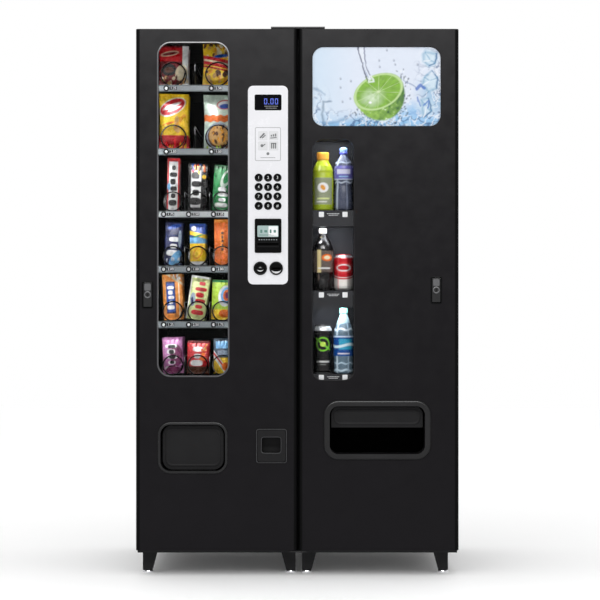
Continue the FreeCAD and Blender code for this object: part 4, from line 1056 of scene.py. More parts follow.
def lock_details(side):
    """The handle's raised upper grip, its key cylinder and the lip round its well."""
    (x0, x1, z0, z1), front, _ = flat_box(side + "_lock_handle")
    cx, cz = (x0 + x1) / 2, (z0 + z1) / 2
    bar_front = front + 1.5 * MM
    grip = bmesh.new()
    add_pad(grip, (x0 + 3 * MM, x1 - 3 * MM, cz + 13 * MM, z1 - 3 * MM, 5 * MM), bar_front,
            bar_front - 1.6 * MM, 1.2 * MM)
    piece(side + "_grip", grip, LOCK_GRIP, side + "_handle", smooth=40)
    ring = bmesh.new()
    add_round_rim(ring, cx, cz, (
        (0.0118, front + 0.001), (0.0116, front - 0.0006), (0.0105, front - 0.0012), (0.0078, front - 0.0006),
        (0.0074, front + 0.0002)), 40)
    piece(side + "_cylinder_ring", ring, LOCK_GRIP, side + "_handle", smooth=50)
    (hx0, hx1, hz0, hz1), _, _ = flat_box(side + "_lock_housing")
    lip = bmesh.new()
    add_frame(lip, (hx0 - 1.2 * MM, hx1 + 1.2 * MM, hz0 - 1.2 * MM, hz1 + 1.2 * MM, 7 * MM), (
        (0, DOOR_FRONT), (0.0006, DOOR_FRONT - 0.0013), (0.0022, DOOR_FRONT - 0.0015),
        (0.0034, DOOR_FRONT - 0.0004), (0.0034, DOOR_FRONT)))
    piece(side + "_lock_lip", lip, BLACK_SATIN, side + "_door", smooth=40)


lock_details("snack")
lock_details("drink")

# ---------------------------------------------------------------- port flaps and coin cup


def flap_press(node, margin, body, material):
    """A pressed panel on a flap: a raised border with a shallow dished field."""
    (x0, x1, z0, z1), front, _ = flat_box(node)
    sheet = front + 1.5 * MM
    bm = bmesh.new()
    box = (x0 + margin, x1 - margin, z0 + margin, z1 - margin * 1.3, 24 * MM)
    profile = ((0, sheet), (0.0020, sheet - 0.0006), (0.006, sheet - 0.0007), (0.009, sheet - 0.0002),
               (0.009, sheet))
    add_frame(bm, box, profile, steps=10)
    piece(node + "_press", bm, material, body, smooth=50)


flap_press("snack_port_flap", 9 * MM, "snack_flap", FLAP_COAT)
flap_press("drink_port_flap", 7 * MM, "drink_flap", FLAP_COAT)


def cup_bezel():
    """Slim raised edges round the coin cup's plate and round its mouth, coloured lighter than the plate as
    painted highlights on their bevels.
    """
    (x0, x1, z0, z1), front, _ = flat_box("coin_cup")
    mouth = (x0 + 18 * MM, x1 - 20 * MM, z0 + 34 * MM, z1 - 28 * MM, 8 * MM)
    lip = bmesh.new()
    add_frame(lip, mouth, ((0.0002, front + 0.0030), (-0.0002, front - 0.0008), (-0.0017, front - 0.0010),
                           (-0.0024, front + 0.0004)), steps=8)
    piece("coin_cup_lip", lip, CUP_EDGE_HIGHLIGHT, "snack_door", smooth=50)
    bm = bmesh.new()
    add_frame(bm, (x0, x1, z0, z1, 9 * MM), (
        (0, front + 0.0006), (0.0004, front - 0.0006), (0.0020, front - 0.0007), (0.0026, front + 0.0006)),
        steps=8)
    piece("coin_cup_bezel", bm, CUP_EDGE_HIGHLIGHT, "snack_door", smooth=50)


cup_bezel()


def door_edges():
    """Trims that wrap the upright outer edges of both doors, coloured near black as painted shade where the
    edges turn away from the light.
    """
    for side in ("snack", "drink"):
        (x0, x1, z0, z1), _, back = flat_box(side + "_door_panel")
        bm = bmesh.new()
        radius, skin = 13 * MM, 0.35 * MM
        for edge, inward in ((x0, 1), (x1, -1)):
            outline = []
            for grown in (skin, -0.15 * MM):
                run = [(edge - inward * grown, back - 1 * MM)]
                for i in range(9):
                    a = math.radians(90 * i / 8)
                    run.append((edge + inward * (radius - (radius + grown) * math.cos(a)),
                                DOOR_FRONT + radius - (radius + grown) * math.sin(a)))
                outline += run if grown > 0 else run[::-1]
            add_capped(bm, [[(x, y, z) for x, y in outline] for z in (z0 + 1 * MM, z1 - 1 * MM)])
        piece(side + "_door_edges", bm, EDGE_SHADE, side + "_door", smooth=40)


door_edges()

# ---------------------------------------------------------------- the sign's picture
# A pouring stream, a tilted half lime, ice and shallow water. Places are fractions of the picture,
# across from the left and up from the bottom; sizes are fractions of its height.


def line_distance(across, up, points):
    """Distance from every point to a line through a few points."""
    best = np.full(across.shape, 9.0)
    for (ax, ay), (bx, by) in zip(points, points[1:]):
        dx, dy = bx - ax, by - ay
        t = np.clip(((across - ax) * dx + (up - ay) * dy) / (dx * dx + dy * dy), 0, 1)
        best = np.minimum(best, np.hypot(across - ax - t * dx, up - ay - t * dy))
    return best


def blend_in(colour, mask, tone):
    return colour * (1 - mask[:, None]) + np.array(tone) * mask[:, None]


PRINT_TONE = (0.86, 0.87, 0.90)
SHEET_EDGE = (0.6, 0.7, 0.8)
SHEET_CELLS = (236, 148)


def picture_colours(u, v, aspect):
    x, y = u * aspect, v
    colour = np.ones((len(u), 3)) * np.array(linear(229, 236, 247))
    colour = blend_in(colour, np.clip(1.1 - u * 3.2, 0, 1) * 0.6, linear(203, 228, 244))
    colour = blend_in(colour, np.clip(0.22 - v, 0, 1) * 3.2 * np.clip(1 - np.abs(u - 0.3) * 0.6, 0, 1),
                      linear(168, 208, 240))
    water = ripple(x, y * 1.7, 5, 16)
    pool = np.clip((0.36 - 0.9 * np.abs(u - 0.78) - v) * 7, 0, 1) + np.clip((0.075 - v) * 22, 0, 1)
    pool = np.clip(pool, 0, 1)
    colour = blend_in(colour, pool * (0.7 + 0.2 * water), linear(124, 192, 238))
    colour = blend_in(colour, pool * np.clip(water * 2.2 - 0.35, 0, 1), linear(238, 247, 253))
    colour = blend_in(colour, pool * np.clip(-water * 2.0 - 0.45, 0, 1) * 0.8, linear(46, 128, 200))

    bent_x = x + 0.045 * ripple(x, y, 51, 12, 4)
    bent_y = y + 0.045 * ripple(x, y, 52, 12, 4)

    def stroke(points, width, tone, strength=1.0, soft=0.012):
        nonlocal colour
        scaled = [(px * aspect, py) for px, py in points]
        wobble = 0.006 * ripple(x, y, 9, 30, 2)
        near = soft_step(width / 2 - line_distance(bent_x, bent_y, scaled) + wobble, soft)
        colour = blend_in(colour, near * strength, tone)

    def spot(cu, cv, ru, rv, lean, tone, strength=1.0, soft=0.012):
        nonlocal colour
        dx, dy = (u - cu) * aspect, v - cv
        c, s = math.cos(lean), math.sin(lean)
        a, b = (dx * c + dy * s) / ru, (-dx * s + dy * c) / rv
        inside = soft_step((1 - np.sqrt(a * a + b * b)) * min(ru, rv), soft)
        colour = blend_in(colour, inside * strength, tone)

    # water and ice: branching dark and bright veins at the right, at the bottom and at the lower left
    wet = np.clip((u - 0.78) * 7, 0, 1) * np.clip(1.15 - np.abs(v - 0.45), 0, 1)
    corner = np.clip((0.16 - u) * 7, 0, 1) * np.clip((0.55 - v) * 5, 0, 1) * 0.8
    wet = np.clip(wet + np.clip((0.24 - v) * 6, 0, 1) + corner, 0, 1)
    veins = np.clip(1 - np.abs(ripple(x, y, 61, 15, 4)) * 9, 0, 1) * wet
    gleam = np.clip(1 - np.abs(ripple(x, y, 62, 19, 4)) * 9, 0, 1) * wet
    body = np.clip(ripple(x, y, 63, 9, 4) * 2.2 + 0.25, 0, 1) * wet
    colour = blend_in(colour, body * 0.6, linear(104, 174, 214))
    colour = blend_in(colour, veins * 0.85, linear(22, 78, 136))
    colour = blend_in(colour, gleam * 0.8, linear(250, 253, 255))

    # ice: pale blocks with blue edges down the right side and at the left
    deep, mid, pale = linear(40, 96, 150), linear(96, 160, 196), linear(214, 234, 244)
    blocks = (
        ((0.885, 0.95), (0.965, 0.93), (0.955, 0.80), (0.905, 0.77), (0.865, 0.84)),
        ((0.87, 0.60), (0.93, 0.69), (0.985, 0.60), (0.975, 0.47), (0.90, 0.43), (0.86, 0.50)),
        ((0.84, 0.33), (0.90, 0.34), (0.93, 0.20), (0.87, 0.12)),
    )
    for outline in blocks:
        cu = sum(p[0] for p in outline) / len(outline)
        cv = sum(p[1] for p in outline) / len(outline)
        spot(cu, cv, 0.10, 0.11, 0.4, pale, 0.8, 0.05)
        closed = list(outline) + [outline[0]]
        stroke(closed, 0.026, mid, 0.6, 0.03)
        stroke(closed[1:4], 0.015, deep, 0.8)
        stroke([outline[0], (cu, cv), outline[2]], 0.014, mid, 0.6)
        stroke([(cu, cv), outline[-1]], 0.012, linear(250, 253, 255), 0.8)
    stroke([(0.80, 0.46), (0.845, 0.50), (0.87, 0.47)], 0.034, linear(30, 96, 190), 0.8)
    stroke([(0.81, 0.36), (0.83, 0.27)], 0.02, linear(44, 110, 196), 0.7)
    stroke([(0.86, 0.27), (0.905, 0.31), (0.90, 0.24)], 0.022, linear(44, 110, 196), 0.75)
    stroke([(0.70, 0.60), (0.745, 0.52), (0.80, 0.47)], 0.014, linear(70, 110, 160), 0.6)
    stroke([(0.02, 0.48), (0.10, 0.39)], 0.03, linear(120, 156, 186), 0.6, 0.03)
    stroke([(0.14, 0.30), (0.085, 0.29), (0.075, 0.16), (0.095, 0.07)], 0.026, linear(96, 124, 150), 0.7,
           0.025)
    stroke([(0.09, 0.05), (0.24, 0.09)], 0.03, linear(110, 152, 190), 0.6, 0.03)

    # the lime: rind behind and below, then its cut face
    lean, cu, cv = 0.42, 0.515, 0.435
    dx, dy = (u - cu) * aspect, v - cv
    c, s = math.cos(lean), math.sin(lean)
    a, b = dx * c + dy * s, -dx * s + dy * c
    face_a, face_b = 0.325, 0.215
    below = np.hypot(a / face_a, np.where(b < 0, b / (face_b * 1.72), b / face_b))
    texture = ripple(x, y, 21, 60, 3)
    rind = soft_step((1 - below) * face_b, 0.014)
    dark_side = np.clip(0.5 + a * 1.6 - texture * 0.8, 0, 1)
    colour = blend_in(colour, rind, blend_in(np.array(linear(150, 196, 72)), dark_side, linear(64, 118, 34)))
    glints = rind * np.clip(texture * 3.2 - 1.35, 0, 1)
    colour = blend_in(colour, glints, linear(238, 248, 226))
    colour = blend_in(colour, rind * np.clip(-texture * 3.0 - 1.5, 0, 1), linear(30, 66, 22))
    face = np.hypot(a / face_a, b / face_b)
    angle = np.arctan2(b / face_b, a / face_a)
    colour = blend_in(colour, soft_step((1 - face) * face_b, 0.012), linear(196, 226, 150))
    flesh_mask = soft_step((0.9 - face) * face_b, 0.012)
    fibre = ripple(angle * 3.0, face * 1.5, 33, 6, 3)
    flesh, strand = np.array(linear(128, 180, 44)), np.array(linear(40, 60, 10))
    green = flesh * (1 - 0.35 * fibre[:, None]) + strand * 0.25 * fibre[:, None]
    colour = blend_in(colour, flesh_mask, np.clip(green, 0, 1))
    spokes = np.abs(np.sin(angle * 5)) * face
    colour = blend_in(colour, flesh_mask * np.clip(1 - spokes * 11, 0, 1) * 0.85, linear(206, 230, 160))
    colour = blend_in(colour, flesh_mask * np.clip(1 - face * 9, 0, 1), linear(226, 240, 190))
    wash = flesh_mask * np.clip(1 - np.hypot(a + 0.10, b * 1.3 + 0.05) * 5.2, 0, 1)
    colour = blend_in(colour, wash * np.clip(0.75 + ripple(x, y, 41, 34, 3), 0, 1), linear(226, 242, 210))
    spot(0.452, 0.30, 0.018, 0.014, 0, linear(255, 255, 255))

    # the stream, with dark edges and a bright middle
    left_edge = [(0.343, 1.0), (0.385, 0.80), (0.415, 0.60)]
    right_edge = [(0.39, 1.0), (0.418, 0.80), (0.452, 0.60)]
    middle = [((p[0] + q[0]) / 2, p[1]) for p, q in zip(left_edge, right_edge)]
    stroke(middle, 0.062, linear(238, 243, 250), 0.95, 0.02)
    stroke(left_edge, 0.020, linear(48, 56, 96), 0.9)
    stroke(right_edge, 0.015, linear(84, 92, 130), 0.8)
    stroke([(p[0] - 0.004, p[1]) for p in middle[1:]], 0.010, linear(150, 170, 205), 0.8)
    stroke([(0.415, 0.60), (0.43, 0.55), (0.475, 0.56), (0.45, 0.62)], 0.022, linear(236, 246, 236), 0.9)
    stroke([(0.405, 0.61), (0.415, 0.575)], 0.026, linear(70, 96, 40), 0.8)

    rng = np.random.default_rng(3)
    for _ in range(150):
        turn = rng.uniform(-2.9, 0.4)
        reach = rng.uniform(0.98, 1.3)
        pa, pb = face_a * reach * math.cos(turn), face_b * 1.72 * reach * math.sin(turn)
        px, py = cu + (pa * c - pb * s) / aspect, cv + pa * s + pb * c
        size = rng.uniform(0.0035, 0.010)
        tone = linear(52, 72, 92) if rng.uniform() < 0.5 else linear(245, 250, 252)
        spot(px, py, size, size * 1.5, turn, tone, 0.8)
    for px, py in ((0.52, 0.83), (0.635, 0.83), (0.645, 0.78), (0.525, 0.75), (0.58, 0.96), (0.82, 0.78),
                   (0.22, 0.60),
                   (0.30, 0.57), (0.22, 0.49), (0.235, 0.31), (0.295, 0.35), (0.292, 0.14)):
        spot(px, py, 0.011, 0.016, 0.4, linear(120, 132, 156), 0.75)
        spot(px - 0.003, py + 0.006, 0.004, 0.005, 0, linear(250, 252, 255), 0.8)
    return np.clip(colour * np.array(PRINT_TONE), 0, 1)


def sign_picture():
    """The lit print: a fine sheet whose front carries the picture, with a thin rim round it."""
    (x0, x1, z0, z1), front, back = flat_box("sign_panel")
    columns, rows = SHEET_CELLS
    wide = columns + 1
    bm = bmesh.new()
    layer = bm.loops.layers.float_color.new("print")
    u, v = np.linspace(0, 1, wide), np.linspace(0, 1, rows + 1)
    grid_u, grid_v = np.meshgrid(u, v)
    inner_u = (x0 + (x1 - x0) * grid_u.ravel() - SIGN[0]) / (SIGN[1] - SIGN[0])
    inner_v = (z0 + (z1 - z0) * grid_v.ravel() - SIGN[2]) / (SIGN[3] - SIGN[2])
    tones = picture_colours(inner_u, inner_v, (SIGN[1] - SIGN[0]) / (SIGN[3] - SIGN[2]))
    verts = [bm.verts.new((mix(x0, x1, a), front, mix(z0, z1, b))) for b in v for a in u]
    for r in range(rows):
        for c in range(columns):
            ids = [r * wide + c, r * wide + c + 1, (r + 1) * wide + c + 1, (r + 1) * wide + c]
            tint(bm.faces.new([verts[i] for i in ids]), layer, [tones[i] for i in ids])
    edge = list(range(columns)) + [r * wide + columns for r in range(rows)]
    edge += [rows * wide + c for c in range(columns, 0, -1)] + [r * wide for r in range(rows, 0, -1)]
    rear = [bm.verts.new((verts[i].co.x, back, verts[i].co.z)) for i in edge]
    for k, i in enumerate(edge):
        n = (k + 1) % len(edge)
        tint(bm.faces.new((verts[edge[n]], verts[i], rear[k], rear[n])), layer, [SHEET_EDGE] * 4)
    tint(bm.faces.new(rear), layer, [SHEET_EDGE] * len(rear))
    sheet = raw_piece("sign_print_sheet", bm, PICTURE, "drink_door")
    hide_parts("sign_panel")


sign_picture()

# ---------------------------------------------------------------- sample drinks in the lit display

SHELF_TOPS = (1.2214, 0.9524, 0.6734)
LEFT_DRINK_X, RIGHT_DRINK_X = 0.086, 0.1555
DRINK_Y = -0.299
BOTTLE_PLASTIC = printed("bottle_print", 0.26, 0.0, 0.00004, 60, Specular_IOR_Level=0.22)
CAN_METAL = printed("can_print", 0.22, 0.55, 0.00002, 60)


def turned(name, profile, x, foot_z, design, material, ribs=(0, 0, 0), girth=1.0):
    """A drink as a lathe shape with its label painted on, on most drinks with painted highlights and shade as
    well; the middle of the design faces the front.

    profile is (radius, height) points. ribs is (low, high, count) for a fluted cap. girth widens the body
    and leaves the neck and cap alone.
    """
    height, segments = profile[-1][1], 72
    bm = bmesh.new()
    layer = bm.loops.layers.float_color.new("print")
    rows = []
    fine = []
    for (r0, h0), (r1, h1) in zip(profile, profile[1:]):
        steps = max(1, int(math.hypot(r1 - r0, h1 - h0) / (2.2 * MM)))
        fine += [(mix(r0, r1, i / steps), mix(h0, h1, i / steps)) for i in range(steps)]
    fine.append(profile[-1])
    for radius, h in fine:
        ring = []
        for i in range(segments):
            a = 2 * math.pi * i / segments - math.pi / 2 + math.pi
            r = radius * mix(1, girth, min(max((radius - 16 * MM) / (12 * MM), 0), 1))
            if ribs[2] and ribs[0] <= h <= ribs[1]:
                r -= 0.35 * MM * (0.5 + 0.5 * math.cos(ribs[2] * a))
            ring.append(bm.verts.new((x + r * math.cos(a), DRINK_Y + r * math.sin(a), foot_z + h)))
        rows.append(ring)
    u = np.array([[i / segments for i in range(segments)] for _ in fine]).ravel()
    v = np.array([[h / height] * segments for _, h in fine]).ravel()
    tones = paint(design, u, v).reshape(len(fine), segments, 3)
    for k in range(len(rows) - 1):
        for i in range(segments):
            j = (i + 1) % segments
            corners = ((k, i), (k, j), (k + 1, j), (k + 1, i))
            tint(bm.faces.new([rows[r][c] for r, c in corners]), layer, [tones[r, c] for r, c in corners])
    for ring, k in ((rows[0][::-1], 0), (rows[-1], -1)):
        tint(bm.faces.new(ring), layer, [tones[k, 0]] * segments)
    drink = piece(name, bm, material, "drink_door", smooth=45)
    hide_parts("display_drinks")


def mm(*pairs):
    return [(r * MM, h * MM) for r, h in pairs]


CLEAR_GREY, CLEAR_PALE, VIOLET = linear(74, 80, 100), linear(176, 186, 204), linear(104, 100, 178)
SPORT_LIME, SPORT_ORANGE, LABEL_GREY = linear(178, 196, 44), linear(232, 160, 60), linear(150, 158, 128)
COLA, WATER_BLUE = linear(9, 6, 7), linear(24, 74, 150)

# The small pale oval left of the front is a painted highlight.
turned("drink_sports", mm((29, 0), (32.5, 3), (33, 8), (33, 48), (32, 52), (33, 56), (33, 108), (31.5, 122),
                          (30.8, 128), (31.5, 134), (27, 150), (20, 164), (18.5, 168), (18.5, 172), (20, 173),
                          (20, 193), (18.5, 196), (4, 196)), LEFT_DRINK_X, SHELF_TOPS[0],
       (SPORT_LIME, [
           ("band", 0.0, 0.10, linear(158, 178, 30)), ("box", 0.36, 0.66, 0.10, 0.56, LABEL_GREY),
           ("oval", 0.50, 0.39, 0.085, 0.085, 0, WHITE), ("oval", 0.50, 0.39, 0.032, 0.05, 0.5, SPORT_ORANGE),
           ("box", 0.41, 0.60, 0.19, 0.215, PALE_LIME), ("box", 0.40, 0.56, 0.14, 0.155, WHITE),
           ("band", 0.86, 1.0, SPORT_ORANGE), ("oval", 0.44, 0.72, 0.02, 0.05, 0, linear(236, 246, 150)),
       ]), BOTTLE_PLASTIC, ribs=(0.175, 0.192, 36), girth=1.09)
# The grey body is painted for clear plastic seen against the dark display; the dark upright stripes towards
# the sides are painted shade and the pale ones near the front painted highlights.
turned("drink_clear", mm((26, 0), (30, 4), (31, 10), (30, 60), (27.5, 84), (28, 96), (31, 108), (31, 142),
                         (29, 150), (25, 164), (17, 178), (12.5, 186), (12.5, 190), (14, 191), (14, 196),
                         (12, 198), (13, 202), (13.5, 208), (10, 213), (4, 214)), RIGHT_DRINK_X,
                         SHELF_TOPS[0],
       (CLEAR_GREY, [
           ("side", 0.25, 0.31, linear(30, 32, 46)), ("side", 0.69, 0.75, linear(30, 32, 46)),
           ("side", 0.36, 0.40, CLEAR_PALE), ("side", 0.55, 0.565, linear(140, 150, 172)),
           ("side", 0.63, 0.66, linear(60, 64, 84)), ("wave", 0.43, 0.455, 6.0, 0.01, CLEAR_PALE),
           ("band", 0.49, 0.70, VIOLET), ("box", 0.38, 0.62, 0.57, 0.645, linear(214, 214, 238)),
           ("box", 0.42, 0.58, 0.52, 0.54, linear(150, 190, 226)),
           ("band", 0.48, 0.495, linear(206, 216, 234)), ("wave", 0.74, 0.76, 5.0, 0.008, CLEAR_PALE),
           ("band", 0.875, 0.925, linear(72, 78, 160)), ("band", 0.925, 1.0, linear(118, 150, 206)),
       ]), BOTTLE_PLASTIC, girth=1.064)
# The pale upright stripes near the front and the two small lighter ovals are painted highlights.
turned("drink_dark", mm((24, 0), (29, 3), (31.5, 12), (32, 22), (30, 44), (32, 62), (32, 128), (31.2, 140),
                        (28.5, 152), (23, 166), (17, 178), (13.6, 187), (12.4, 193), (13.6, 194), (13.6, 207),
                        (12, 209), (4, 209)), LEFT_DRINK_X, SHELF_TOPS[1],
       (COLA, [
           ("side", 0.40, 0.425, linear(110, 96, 90)), ("band", 0.30, 0.64, linear(96, 84, 78)),
           ("side", 0.41, 0.47, linear(226, 208, 150)), ("band", 0.0, 0.29, COLA),
           ("band", 0.655, 0.86, COLA), ("oval", 0.565, 0.53, 0.085, 0.055, 0, ORANGE),
           ("oval", 0.565, 0.53, 0.05, 0.03, 0, CREAM), ("box", 0.42, 0.62, 0.35, 0.37, WHITE),
           ("oval", 0.45, 0.78, 0.03, 0.02, 0.4, linear(210, 206, 204)),
           ("oval", 0.43, 0.22, 0.012, 0.05, 0, linear(120, 104, 96)), ("band", 0.86, 0.925, COLA),
           ("band", 0.928, 1.0, WHITE),
       ]), BOTTLE_PLASTIC, ribs=(0.195, 0.206, 40), girth=1.125)
# The thin lighter stripe left of the front is a painted highlight.
turned("drink_red_can", mm((24, 0), (27, 1), (32, 7), (33, 10), (33, 108), (31.5, 113), (27.5, 118),
                           (27.5, 120.5),
                           (26.5, 122), (25.5, 120), (4, 119.5)), RIGHT_DRINK_X, SHELF_TOPS[1],
       (linear(196, 18, 34), [
           ("wave", 0.13, 0.36, 1.5, 0.05, linear(232, 228, 222)), ("band", 0.0, 0.13, linear(206, 204, 200)),
           ("wave", 0.40, 0.42, 1.5, 0.05, WHITE), ("oval", 0.5, 0.64, 0.17, 0.15, 0, linear(222, 60, 66)),
           ("oval", 0.5, 0.64, 0.13, 0.10, 0, WHITE), ("oval", 0.5, 0.64, 0.10, 0.07, 0, linear(196, 18, 34)),
           ("side", 0.40, 0.412, linear(226, 80, 84)), ("band", 0.925, 1.0, linear(190, 192, 196)),
           ("band", 0.0, 0.02, linear(170, 172, 176)),
       ]), CAN_METAL)
# The thin grey stripe left of the front is a painted highlight.
turned("drink_tall_can", mm((22, 0), (25, 1), (29.3, 8), (30, 12), (30, 146), (28.5, 152), (25.8, 158),
                            (26.8, 161), (26, 164), (24.5, 161), (4, 160.5)), LEFT_DRINK_X, SHELF_TOPS[2],
       (BLACK, [
           ("oval", 0.50, 0.62, 0.13, 0.15, 0, linear(120, 200, 50)),
           ("oval", 0.50, 0.62, 0.10, 0.12, 0, BLACK), ("slant", 0.60, 0.645, 0.9, linear(120, 200, 50)),
           ("side", 0.0, 0.36, BLACK), ("side", 0.64, 1.0, BLACK),
           ("oval", 0.50, 0.62, 0.05, 0.05, 0, linear(190, 226, 90)),
           ("box", 0.38, 0.62, 0.24, 0.27, linear(214, 216, 214)),
           ("box", 0.44, 0.56, 0.19, 0.20, linear(160, 164, 160)),
           ("side", 0.405, 0.415, linear(96, 100, 96)), ("band", 0.90, 1.0, linear(204, 206, 208)),
           ("band", 0.0, 0.03, linear(150, 152, 154)),
       ]), CAN_METAL, girth=1.03)
# The dark upright stripes towards the sides are painted shade and the pale ones near the front painted
# highlights.
turned("drink_water", mm((24, 0), (29, 3), (31, 10), (29.5, 22), (31, 34), (29.8, 46), (31, 58), (31, 128),
                         (30, 140), (26, 158), (18, 184), (13, 198), (13, 203), (14.5, 204), (14.5, 218),
                         (13, 221), (4, 221)), RIGHT_DRINK_X, SHELF_TOPS[2],
       (linear(92, 114, 130), [
           ("wave", 0.04, 0.07, 6.0, 0.01, linear(190, 212, 226)),
           ("wave", 0.15, 0.17, 7.0, 0.01, linear(176, 200, 216)), ("side", 0.25, 0.31, linear(50, 64, 78)),
           ("side", 0.69, 0.75, linear(50, 64, 78)), ("side", 0.37, 0.40, linear(196, 214, 226)),
           ("side", 0.57, 0.59, linear(160, 184, 202)), ("band", 0.27, 0.58, WATER_BLUE),
           ("box", 0.42, 0.66, 0.37, 0.53, linear(50, 160, 196)),
           ("wave", 0.41, 0.45, 2.0, 0.02, linear(210, 234, 244)),
           ("band", 0.555, 0.575, linear(210, 226, 240)), ("box", 0.40, 0.60, 0.30, 0.315, WHITE),
           ("wave", 0.66, 0.69, 5.0, 0.012, linear(190, 206, 218)),
           ("wave", 0.765, 0.90, 2.0, 0.012, linear(150, 178, 186)),
           ("band", 0.92, 1.0, linear(120, 196, 180)),
       ]), BOTTLE_PLASTIC, ribs=(0.205, 0.217, 36), girth=1.096)


PRICE_BUTTON_X, PRICE_MID = (80.5 * MM, 159.5 * MM), 120 * MM


def price_panels():
    """Two push-button squares and two rows of dashes on the panel under each sample shelf."""
    squares, dashes = bmesh.new(), bmesh.new()
    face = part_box("display_shelves")[0].y
    for top in SHELF_TOPS:
        high = top - 5.5 * MM if top > 0.7 else top - 2.5 * MM
        for x in PRICE_BUTTON_X:
            add_tile(squares, x, high - 8.75 * MM, 8.5 * MM, 8.75 * MM, 1.2 * MM, face, face - 0.6 * MM,
                     0.2 * MM)
        for row in range(2):
            for i in range(8 - 2 * row):
                x = PRICE_MID + (i - (7 - 2 * row) / 2) * 5.2 * MM
                z = high - (6.5 + 5.0 * row) * MM
                add_tile(dashes, x, z, 1.9 * MM, 0.9 * MM, 0.3 * MM, face, face - 0.15 * MM, steps=2)
    piece("price_squares", squares, LABEL_WHITE, "drink_door", smooth=40)
    piece("price_dashes", dashes, LABEL_WHITE, "drink_door")


price_panels()

# ---------------------------------------------------------------- inside of the doors


# outline boxes are (x0, x1, z0, z1, radius); solid boxes are a low and a high corner
SNACK_LINER, SNACK_LINER_Y = (-0.517, -0.198, 0.600, 1.804, 10 * MM), (-0.2955, -0.2935)
REVEAL_Y = (-0.3440, -0.2970)
CONTROL_BOX = (-0.163, -0.346, 1.212), (-0.033, -0.297, 1.628)
CONTROL_BOX_LID = (-0.150, -0.2972, 1.240), (-0.046, -0.2950, 1.600)
DRINK_LINER = (0.205, -0.2960, 0.640), (0.524, -0.2935, 1.484)
RIB_START, RIB_STEP = 0.72, 0.165


def door_inners():
    """Gaskets, pressed inner liners, the control box and the light box, seen when a door is open."""
    for side, cabinet_node in (("snack", "snack_door_panel"), ("drink", "drink_door_panel")):
        (x0, x1, z0, z1), _, back = flat_box(cabinet_node)
        bm = bmesh.new()
        box = (x0 + 9 * MM, x1 - 9 * MM, z0 + 9 * MM, z1 - 9 * MM, 12 * MM)
        add_frame(bm, box, ((0, back - 4 * MM), (0.001, back + 2.6 * MM), (0.004, back + 3.3 * MM),
                            (0.009, back + 3.3 * MM),
                            (0.012, back + 2.4 * MM), (0.013, back - 4 * MM)), steps=6)
        piece(side + "_gasket", bm, RUBBER, side + "_door", smooth=50)
    bm = bmesh.new()
    outer = rounded_outline(*SNACK_LINER, steps=8)
    hole = rounded_outline(*inset(WINDOW, -14 * MM), steps=8)
    near, far = SNACK_LINER_Y
    sections = ((outer, near), (hole, near), (hole, far), (outer, far))
    add_rings(bm, [[(x, y, z) for x, z in outline] for outline, y in sections])
    piece("snack_inner_liner", bm, LINER, "snack_door")
    reveal = bmesh.new()
    near, far = REVEAL_Y
    add_frame(reveal, inset(WINDOW, -10 * MM), ((-3 * MM, near), (-3 * MM, far), (0, far), (0, near)),
              steps=10)
    piece("snack_window_reveal", reveal, LINER, "snack_door", smooth=40)

    boxes = bmesh.new()
    add_box(boxes, *CONTROL_BOX, 3 * MM)
    add_box(boxes, *CONTROL_BOX_LID, 1 * MM)
    piece("control_box", boxes, TRAY, "snack_door", smooth=40)
    cover = bmesh.new()
    add_frame(cover, inset(SIGN, -9 * MM), ((0, -0.3445), (0, -0.300), (0.004, -0.297), (0.020, -0.297),
                                            (0.020, -0.299), (0.006, -0.299), (0.002, -0.301),
                                            (0.002, -0.3445)), steps=6)
    add_pad(cover, inset(SIGN, 9 * MM), -0.2972, -0.2988)
    piece("sign_light_box", cover, WHITE_STRIP, "drink_door", smooth=40)
    panel = bmesh.new()
    add_box(panel, *DRINK_LINER, 0.8 * MM)
    for i in range(5):
        z = RIB_START + RIB_STEP * i
        add_box(panel, (0.235, -0.2975, z), (0.430, -0.2955, z + 50 * MM), 1.2 * MM)
    piece("drink_inner_liner", panel, LINER, "drink_door", smooth=40)


door_inners()


LAMP_X, LAMP_Y = (WINDOW[0] - 15 * MM, WINDOW[1] + 17 * MM), -0.312
GLASS_LOW, GLASS_HIGH, LAMP_END = 0.700, 1.750, 28 * MM


def lamp_tubes():
    """Upright lamp tubes inside the snack door, on both sides of its window."""
    glass, ends = bmesh.new(), bmesh.new()
    for x in LAMP_X:
        for bm, thin, thick, low, high in (
            (glass, 0.0060, 0.0065, GLASS_LOW, GLASS_HIGH),
            (ends, 0.0075, 0.0085, GLASS_LOW - LAMP_END, GLASS_LOW),
            (ends, 0.0075, 0.0085, GLASS_HIGH, GLASS_HIGH + LAMP_END),
        ):
            tube = ((thin, low), (thick, low + 2 * MM), (thick, high - 2 * MM), (thin, high))
            add_lathe(bm, tube, (x, LAMP_Y, 0), "Z", 20)
    piece("snack_lamp_glass", glass, LAMP, "snack_door", smooth=40)
    piece("snack_lamp_ends", ends, CHROME, "snack_door", smooth=40)


lamp_tubes()

# ---------------------------------------------------------------- cabinet outsides


VENT_Z, BACK_PANEL_Z = (0.100, 0.282), (0.330, 1.795)
SIDE_SCREW_Z, PANEL_SCREW_Z = (0.10, 0.45, 0.80, 1.15, 1.50, 1.80), (0.337, 1.788)
BLADE_SECTION = ((1, 1.2), (1, 2.6), (24, 11.2), (24, 9.8))
SCREW_RADIUS = 4.2 * MM
SCREW_PROFILE = ((1, 0), (0.96, 0.18), (0.7, 0.38), (0.3, 0.46), (0.26, 0.2))


